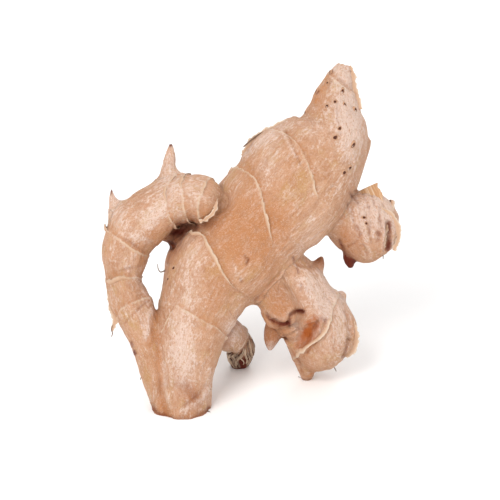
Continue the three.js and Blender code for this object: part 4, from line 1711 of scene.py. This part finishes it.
    def painted(self, mesh: bpy.types.Mesh, growth: Growth) -> None:
        """Stores the numbers that the skin's material reads.

        Args:
            mesh: The finished skin.
            growth: The limbs.
        """
        hand = STANCE.to_hand(vectors_of(mesh.vertices, "co"))
        survey = growth.survey(hand)
        tints = dict.fromkeys(Tint, np.zeros(len(hand)))
        normals = vectors_of(mesh.vertices, "normal") @ STANCE.turn()
        for stroke, line in zip(STROKES, stroke_shares(hand, normals)):
            tints[stroke.tint] = tints[stroke.tint] + stroke.strength * line
        names = [limb.name for limb in growth.limbs]
        for name, start, strength in DARK_TIPS:
            tip = ramp(survey.share, start, min(1.0, start + self.tip_length)) * strength
            tints[Tint.DARK] = tints[Tint.DARK] + (survey.owner == names.index(name)) * tip
        # Pale patches hold painted highlights as well as pale skin, warm patches painted shade as well as
        # orange skin.
        pale, warm = (sum(patch.at(hand) for patch in patches) for patches in (PALE_AND_HIGHLIGHT_PATCHES, WARM_TONE_AND_SHADE_PATCHES))
        filled = np.clip(self.blending(hand, survey) * 1.4, 0, 1)
        # Painted shade in the creases where two limbs meet, lighter where the joint is filled in smooth.
        crease = survey.crease * (1 - filled) * self.crease_shade_shares(survey)
        scoop = (SCOOP_TONE_AND_SHADE_PATCH.at(hand) + 0.25 * STROKE_NOISE.at(hand, 0.6)) * 1.4 - 0.35
        keep_on_points(mesh, "flow", survey.flow)
        keep_on_points(mesh, "gap", survey.gap)
        # The crease number holds the painted crease shade together with the brown strokes.
        keep_on_points(mesh, "crease", np.clip(crease + tints[Tint.BROWN], 0, 1))
        keep_on_points(mesh, "pale", np.clip(pale + tints[Tint.PALE], 0, 1.3))
        keep_on_points(mesh, "warm", np.clip(warm + tints[Tint.WARM], 0, 1))
        keep_on_points(mesh, "dark", np.clip(tints[Tint.DARK], 0, 1))
        keep_on_points(mesh, "scoop", np.clip(scoop, 0, 1) * ramp(-hand[:, 1], -14, -10))

    def build(self, growth: Growth) -> bpy.types.Object:
        """Grows the skin, presses its relief and hollows, trims it at the floor and paints it.

        Args:
            growth: The limbs.

        Returns:
            The skin's object.
        """
        mesh = self.grown_together()
        points = vectors_of(mesh.vertices, "co") / MM
        edges = np.empty(len(mesh.edges) * 2, dtype=np.int32)
        mesh.edges.foreach_get("vertices", edges)
        edges = edges.reshape(-1, 2)
        survey = growth.survey(points)
        points = self.softened(points, edges, np.full(len(points), 0.5), 2)
        points = self.softened(points, edges, 0.75 * survey.crease, 10)
        points = self.softened(points, edges, self.blending(points, survey), 160)
        move_points(mesh, points * MM)
        normals = vectors_of(mesh.vertices, "normal")
        points = points + normals * self.relief(points, growth.survey(points))[:, None]
        points = self.hollowed(points, normals)
        depths = np.array([stroke.depth for stroke in STROKES])
        points = points - normals * (depths @ stroke_shares(points, normals))[:, None]
        move_points(mesh, STANCE.to_row(points))
        mesh.materials.clear()
        skin = add_object("ginger_skin", mesh, SkinFinish().build(), CutFinish().build())
        self.trimmed(mesh)
        self.painted(mesh, growth)
        return skin


@dataclass
class SheathEdges:
    """The thin dry edges that the sheaths leave at the scars, as closed bands that stand a little open.

    Args:
        across: Places across the band, in mm over the scar line.
        heights: The band's height over the skin at those places, in mm.
        thick: Its thickness in mm.
        strengths: How clearly the bands of each limb stand out.
        step: Distance between points round the limb, in mm.
    """

    across: Numbers = (-1.5, -0.9, -0.5, -0.2, 0.0, 0.16)
    heights: Numbers = (-0.6, -0.25, -0.08, 0.01, 0.07, 0.11)
    thick: float = 0.1
    strengths: Numbers = (0.55, 0.0, 1.0, 1.5, 1.0, 1.4)
    step: float = 0.45

    def band(self, growth: Growth, number: int, order: int) -> tuple[Array, ...]:
        """Makes one band as a grid that closes on itself both ways: from root to rim, then its underside.

        Args:
            growth: The limbs.
            number: The limb's number.
            order: The ring's number.

        Returns:
            Points, faces, flow, rim and stain of the band.
        """
        limb, noise = growth.limbs[number], growth.noise
        spine, ring = limb.spine, limb.rings[order]
        count = max(40, int(FULL_TURN * spine.read(spine.values, np.array(ring[3]))[3] / self.step))
        angle = turns(count)
        line = ring_at(ring, angle)
        values = spine.read(spine.values, line)
        radius = np.hypot(np.cos(angle) * values[:, 3], np.sin(angle) * values[:, 4])
        straight = on_straight(angle, radius, line)
        line = line + growth.ragged(straight, order)
        torn = 0.45 * noise.at(straight, 0.7) + 0.35 * noise.at(straight, 2.0)
        lift = 1 + 0.6 * noise.at(straight, 0.22) + 0.4 * noise.at(straight, 0.8)
        present = ramp(noise.at(straight, 0.12) + 0.4 * noise.at(straight, 0.5), -0.35, 0.1)
        across, heights = np.array(self.across)[:, None], np.array(self.heights)[:, None]
        rim = np.clip((across + 1.2) / 1.36, 0, 1)
        along = np.clip(line + across + rim**3 * torn, 0, spine.length)
        open_by = np.where(heights > 0, heights * np.clip(lift, 0.15, 1.6), heights)
        raised = SHEATH_STEP * np.exp(np.minimum(across, 0) / 30) + open_by
        strength = self.strengths[number]
        raised = raised - 0.5 * (1 - present) - 0.12 * (1 - strength) - 1.2 * healed(ring, angle)
        angles = np.broadcast_to(angle, along.shape)
        top, low = (limb.surface(along, angles, raised - drop) for drop in (0, self.thick))
        points = np.vstack([top, low[::-1]])
        faces = grid_faces(len(points) + 1, count) % (len(points) * count)
        flow = straight + across[..., None] * (0, 0, 1)
        flow = np.vstack([flow, flow[::-1]]).reshape(-1, 3) + (0, 0, GRAIN_SHIFT * number)
        rims = np.repeat(np.concatenate([rim, rim[::-1]]), count) * min(1.0, 0.45 + 0.5 * strength)
        return points.reshape(-1, 3), faces, flow, rims, np.zeros(len(rims))

    def build(self, growth: Growth) -> bpy.types.Object:
        """Makes the bands of all rings in one object.

        Args:
            growth: The limbs.

        Returns:
            The bands' object.
        """
        parts = [
            self.band(growth, number, order)
            for number, limb in enumerate(growth.limbs)
            for order in range(len(limb.rings))
        ]
        return piece_of("sheath_edges", parts, ("flow", "rim", "stained"), EdgeFinish().build("sheath_edge"))


@dataclass
class Films:
    """The loose papery films and torn lips, as thin closed blades with ragged edges.

    Args:
        step: Distance between their rows of points in mm.
        sides: Points round a row.
        ragged_mm: Depth of the tears in their edges.
        wave_mm: How far they wave to the front and back.
        stained: The film with streaks of orange.
        stain: How strong those are.
    """

    step: float = 0.25
    sides: int = 28
    ragged_mm: float = 0.55
    wave_mm: float = 0.5
    stained: str = "flap on the upper lobe"
    stain: float = 0.8

    def blade(self, film: Limb, noise: Lattice) -> tuple[Array, ...]:
        """Makes one film: its closed oval skin, waved by noise and torn at both edges.

        Args:
            film: The film's spine and widths.
            noise: The noise.

        Returns:
            Points, faces, flow, rim and stain of the film.
        """
        points, faces = film.closed_skin(self.step, self.sides)
        along = film.place(points).along
        values, _, sideways, _ = film.spine.sections(along)
        across = dots(points - values[:, :3], sideways)
        edge = np.clip(np.abs(across) / np.maximum(values[:, 3], 0.1), 0, 1)
        torn = self.ragged_mm * (noise.at(points, 0.8) + 0.5 * noise.at(points, 1.9))
        points = points + sideways * (torn * edge**2 * np.sign(across))[:, None]
        points[:, 1] += self.wave_mm * noise.at(points * (1, 0, 1), 0.35)
        flow = np.column_stack([across, points[:, 1] * 0.1, along])
        stain = self.stain * np.full(len(points), film.name == self.stained)
        return points, faces, flow, 0.15 + 0.85 * edge**3, stain

    def build(self) -> bpy.types.Object:
        """Returns all films in one object."""
        noise = Lattice(23)
        parts = [self.blade(film, noise) for film in FILMS]
        return piece_of("papery_films", parts, ("flow", "rim", "stained"), EdgeFinish().build("papery_film"))


@dataclass
class Fibres:
    """The frayed bundle at the end of the stub, and a few hair roots.

    Args:
        count: Fibres round the stub.
        sides: Points round a fibre.
        rows: Points along a fibre of the stub.
        stub: The stub's number among the limbs.
        hairs: Single hairs, each a row of x, y and z in the hand, in mm.
        hair_mm: A hair's radius at its root and at its tip.
        hair_dark: How dark it is.
    """

    count: int = 66
    sides: int = 7
    rows: int = 16
    stub: int = 5
    hairs: tuple[Rows, ...] = (
        ((39, 19, 22.4), (39.6, 19, 20.6), (40.4, 19.2, 19.2), (41, 19, 18)),
        ((-27.6, -3, 59.2), (-29.6, -3.4, 58.4), (-30.6, -3.6, 59.6), (-30.9, -3.6, 61.6)),
        ((-48.6, -4.6, 37.4), (-49.2, -4.8, 35.6), (-48.8, -5, 34), (-49.2, -5, 32.6)),
        ((28.4, 24, 15.6), (26.8, 24.4, 15), (25.6, 24.8, 15.6)),
        ((37.6, 2, 133.4), (36.2, 1.6, 134), (35.6, 1.6, 135)),
        ((48.6, 0, 124), (49.8, -0.4, 122.6), (49.6, -0.4, 121)),
        ((3.4, -1.4, 108.4), (6.2, -1.5, 111), (9.4, -1.6, 113.4), (13.4, -1.4, 115.6)),
        ((45, 2, 139.6), (46.4, 2, 138.8), (47.2, 2, 137.4)),
        ((46, 1.8, 136.2), (47.2, 1.8, 135.6), (47.4, 1.8, 134.6)),
        ((39.4, 2, 138.8), (38.2, 2, 138.6), (37.4, 2, 138)),
        ((-11.4, -3, 3), (-10.2, -3, 2.6), (-9.6, -3, 1.8)),
        ((-11, -3, 12.4), (-10, -3, 12), (-9.6, -3, 11.4)),
        ((-36.4, -2, 17), (-37.4, -2, 16.4), (-37.8, -2, 15.4)),
        ((57.6, 3, 67.4), (59.2, 3, 65.4), (59.4, 3, 63.6)),
        ((11.6, 5, 49.6), (12.6, 5, 47.8), (12.4, 5, 46.4)),
    )
    hair_mm: Numbers = (0.3, 0.16)
    hair_dark: float = 0.75

    def thread(self, line: Array, thick: Array, dark: float) -> tuple[Array, ...]:
        """Makes a closed round thread along a line.

        Args:
            line: Its middle points in mm.
            thick: Its radius at each, in mm.
            dark: How dark it is.

        Returns:
            Points, faces, flow and darkness.
        """
        tangent = unit(np.gradient(line, axis=0))
        side = unit(np.cross(tangent, np.array([0.3, 0.9, 0.31])))
        third = np.cross(tangent, side)
        turn = turns(self.sides)[:, None]
        ring = np.cos(turn) * side[:, None] + np.sin(turn) * third[:, None]
        points, faces = capped(line[:, None] + ring * thick[:, None, None], line[[0, -1]])
        return points, faces, points * (1, 1, 0.4), np.full(len(points), dark)

    def lines(self, growth: Growth) -> list[tuple[Array, Array, float]]:
        """Lists the middle lines, radii and darkness of all threads.

        Args:
            growth: The limbs.

        Returns:
            The threads.
        """
        random = np.random.default_rng(31)
        limb = growth.limbs[self.stub]
        threads = []
        for number in range(self.count):
            start = limb.spine.length * random.uniform(0.56, 0.7)
            end = limb.spine.length * random.uniform(0.9, 0.995)
            angle = number * FULL_TURN / self.count + random.uniform(-0.12, 0.12)
            swing = random.uniform(-1.0, 1.0) * np.linspace(0, 1, self.rows) ** 1.2
            swing = swing + 0.12 * np.sin(np.linspace(0, random.uniform(4, 9), self.rows))
            raised = random.uniform(-0.1, 0.8) * np.sin(np.linspace(0.2, 2.9, self.rows)) ** 2
            line = limb.surface(np.linspace(start, end, self.rows), angle + swing, raised)
            thick = random.uniform(0.22, 0.42) * np.sin(np.linspace(0.35, 2.7, self.rows)) ** 0.6
            threads.append((line, thick, random.uniform(-0.3, 0.8)))
        for hair in self.hairs:
            curve = Spine([(*spot, 0.2, 0.2) for spot in hair]).values[::25, :3]
            threads.append((curve, np.linspace(*self.hair_mm, len(curve)), self.hair_dark))
        return threads

    def build(self, growth: Growth) -> bpy.types.Object:
        """Returns all threads in one object."""
        parts = [self.thread(*line) for line in self.lines(growth)]
        return piece_of("dry_fibres", parts, ("flow", "dark"), FibreFinish().build())


@dataclass
class RootScars:
    """The small craters where roots broke off.

    Args:
        front: Their x and z in the hand and their radius, in mm, on the main joint chain's front.
        others: The same on other limbs, with the limb's number first.
        back_count: How many more wind round the back.
        profile: Distance from the middle and height, in radii, from the skirt to the pit.
        size: Factor on the radii.
        sides: Points round a crater.
    """

    front: Rows = (
        (38.4, 138, 0.8), (37.2, 133, 0.7), (33.2, 130.2, 0.7), (42.6, 129.6, 0.9), (36.6, 123.4, 0.8),
        (39.8, 125.2, 0.7), (43.4, 124, 0.8), (48, 122.4, 0.9), (28.6, 121.6, 0.7), (41, 114.2, 0.8),
        (38.8, 110.4, 1), (45.6, 108, 1.1), (44.4, 98.8, 0.9), (42, 96.8, 0.9), (-24.4, 60.4, 0.7),
        (-26.6, 55.4, 0.6),
    )
    others: Rows = ((4, 50.2, 80.8, 0.7), (4, 50.6, 78.6, 0.6))
    back_count: int = 9
    profile: Rows = (
        (1.7, -0.9), (1.35, 0), (1.15, 0.28), (0.98, 0.4), (0.82, 0.36), (0.62, 0.16), (0.25, 0.08),
    )
    size: float = 0.9
    sides: int = 18

    def ground_at(self, ground: Array, base: Array, outwards: Array) -> Array:
        """Finds the finished skin at a spot: the middle height of the skin's points near the spot's normal.

        Args:
            ground: Points of the finished skin in the hand.
            base: The spot on the plain limb.
            outwards: The spot's normal.

        Returns:
            The spot on the finished skin.
        """
        height = (ground - base) @ outwards
        beside = np.linalg.norm(ground - base - height[:, None] * outwards, axis=1)
        near = height[(np.abs(height) < 4) & (beside < 0.8)]
        return base + outwards * float(np.median(near)) if len(near) else base

    def crater(self, limb: Limb, ground: Array, spot: Numbers, seed: int) -> tuple[Array, ...]:
        """Makes one crater: its profile turned round the skin's normal, uneven and a little oval.

        Args:
            limb: The limb.
            ground: Points of the finished skin in the hand, on which it sits.
            spot: Distance along the limb in mm, angle round it, and the crater's radius in mm.
            seed: Seed of its unevenness.

        Returns:
            Points, faces, flow and how much each point belongs to the pit.
        """
        along, angle, radius = np.array(spot)[:, None] * (1, 1)
        radius = radius[0] * self.size
        base, over = limb.surface(along, angle, np.array([0.0, 3.0]))
        outwards = unit(over - base)
        base = self.ground_at(ground, base, outwards)
        tangent = limb.spine.sections(along)[1][0]
        tangent = unit(tangent - outwards * (tangent @ outwards))
        sideways = np.cross(tangent, outwards)
        random = np.random.default_rng(seed)
        turn = -turns(self.sides)
        wobble = 1 + 0.16 * np.sin(2 * turn + random.uniform(0, 6))
        wobble = wobble + 0.08 * np.sin(3 * turn + random.uniform(0, 6))
        reach, rise = (column[:, None] * radius for column in np.array(self.profile).T)
        oval = np.column_stack([np.cos(turn) * 1.2, np.sin(turn) * 0.85]) @ np.stack([tangent, sideways])
        rim = (reach * wobble)[..., None] * oval
        rise = rise * (1 + 0.3 * np.sin(turn + random.uniform(0, 6)))
        ends = base + np.array([[-radius], [self.profile[-1][1] * radius]]) * outwards
        points, faces = capped(base + rim + rise[..., None] * outwards, ends)
        pit = np.repeat(ramp(1.0 - np.array(self.profile)[:, 0], 0, 0.25), self.sides)
        return points, faces, points, np.concatenate([pit, [0, 1]])

    def places(self, growth: Growth) -> list[tuple[Limb, Numbers]]:
        """Lists the limb, and the distance, angle and radius, of every scar.

        Args:
            growth: The limbs.

        Returns:
            The scars.
        """
        main = growth.limbs[0]
        listed = [(main, *spot) for spot in self.front]
        listed += [(growth.limbs[number], *spot) for number, *spot in self.others]
        found = [(limb, (*limb.on_front(x, z), radius)) for limb, x, z, radius in listed]
        back = [(112.0 + 5 * step, 0.5 + (step * 0.9) % 2.2, 0.9) for step in range(self.back_count)]
        return found + [(main, spot) for spot in back]

    def build(self, growth: Growth, skin: bpy.types.Object) -> bpy.types.Object:
        """Makes all scars in one object.

        Args:
            growth: The limbs.
            skin: The finished skin.

        Returns:
            The scars' object.
        """
        ground = STANCE.to_hand(vectors_of(skin.data.vertices, "co"))
        scars = enumerate(self.places(growth))
        parts = [self.crater(limb, ground, spot, seed) for seed, (limb, spot) in scars]
        return piece_of("root_scars", parts, ("flow", "pit"), ScarFinish().build())


@dataclass(frozen=True)
class Studio:
    """The pale floor, the soft lights and the camera at the photograph's angle.

    Args:
        target: The point of the hand at the picture's middle, in mm.
        elevation_deg: The camera's height over the horizon.
        distance_mm: Its distance.
        width_mm: Width of the picture at the target.
        sensor_mm: Width of the camera's sensor.
        floor_radius: Radius of the floor in metres.
        floor_sides: Its corners.
        sky: Strength of the light from all round.
    """

    target: Numbers = (6.0, 0.0, 67.2)
    elevation_deg: float = 25.0
    distance_mm: float = 1400.0
    width_mm: float = 200.0
    sensor_mm: float = 36.0
    floor_radius: float = 6.0
    floor_sides: int = 64
    sky: float = 0.78

    def camera(self) -> None:
        """Places a long lens that looks at the target from the front and above."""
        lift = math.radians(self.elevation_deg)
        back = np.array([0, -math.cos(lift), math.sin(lift)])
        data = bpy.data.cameras.new("camera")
        data.sensor_width = self.sensor_mm
        data.lens = self.sensor_mm * self.distance_mm / self.width_mm
        data.clip_start, data.clip_end = 0.01, 50
        camera = bpy.data.objects.new("camera", data)
        camera.location = STANCE.to_row(np.array(self.target)) + back * self.distance_mm * MM
        camera.rotation_euler = (math.pi / 2 - lift, 0, 0)
        bpy.context.scene.collection.objects.link(camera)
        bpy.context.scene.camera = camera

    def light(self, name: str, place: Numbers, size: float, power: float, tint: Numbers) -> None:
        """Adds a soft square light that faces the root.

        Args:
            name: The light's name.
            place: Where it hangs, in metres.
            size: Its width in metres.
            power: Its power in watts.
            tint: Its colour.
        """
        data = bpy.data.lights.new(name, "AREA")
        data.shape, data.size = "SQUARE", size
        data.energy, data.color = power, tint
        lamp = bpy.data.objects.new(name, data)
        lamp.location = place
        lamp.rotation_mode = "QUATERNION"
        towards = Vector(np.array([0, 0, 0.06]) - np.array(place))
        lamp.rotation_quaternion = towards.to_track_quat("-Z", "Y")
        bpy.context.scene.collection.objects.link(lamp)

    def floor(self) -> None:
        """Lays a wide pale disc under the root."""
        sides, turn = self.floor_sides, turns(self.floor_sides)
        points = np.vstack([on_straight(turn, np.array(self.floor_radius), turn * 0), [0, 0, 0]])
        side = np.arange(sides)
        faces = np.column_stack([side, (side + 1) % sides, np.full(sides, sides)])
        shader = Shader("pale_floor")
        grain = shader.noise(shader.object_place(), 40, 2)
        colour = shader.layered((0.93, 0.93, 0.93, 1), (grain, (0.96, 0.96, 0.96, 1)))
        floor = add_object("floor", mesh_from("floor", points, faces), shader.finish(colour, 0.9))

    def build(self) -> None:
        """Sets the world, the floor, the lights and the camera."""
        scene = bpy.context.scene
        scene.view_settings.view_transform = "Standard"
        world = bpy.data.worlds.new("soft_room")
        world.use_nodes = True
        world.node_tree.nodes["Background"].inputs["Color"].default_value = (1, 1, 1, 1)
        world.node_tree.nodes["Background"].inputs["Strength"].default_value = self.sky
        scene.world = world
        self.floor()
        self.light("key", (-0.7, -1.1, 1.2), 0.9, 20, (1.0, 0.985, 0.965))
        self.light("fill", (1.2, -0.9, 0.7), 1.2, 6, (1.0, 0.985, 0.98))
        self.light("back", (0.3, 1.3, 1.3), 1.0, 8, (1.0, 1.0, 1.0))
        self.camera()


def main() -> None:
    """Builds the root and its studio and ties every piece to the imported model."""
    logging.basicConfig(level=logging.INFO, format="%(message)s")
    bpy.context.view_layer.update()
    Studio().build()
    growth = Growth()
    skin = Skin().build(growth)
    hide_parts("rhizome")
    pieces = [
        skin,
        SheathEdges().build(growth),
        RootScars().build(growth, skin),
        Films().build(),
        Fibres().build(growth),
    ]
    for piece in pieces:
        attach(piece, "root")
        log.info("%s: %d faces", piece.name, len(piece.data.polygons))
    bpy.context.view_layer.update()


if __name__ == "__main__":
    main()
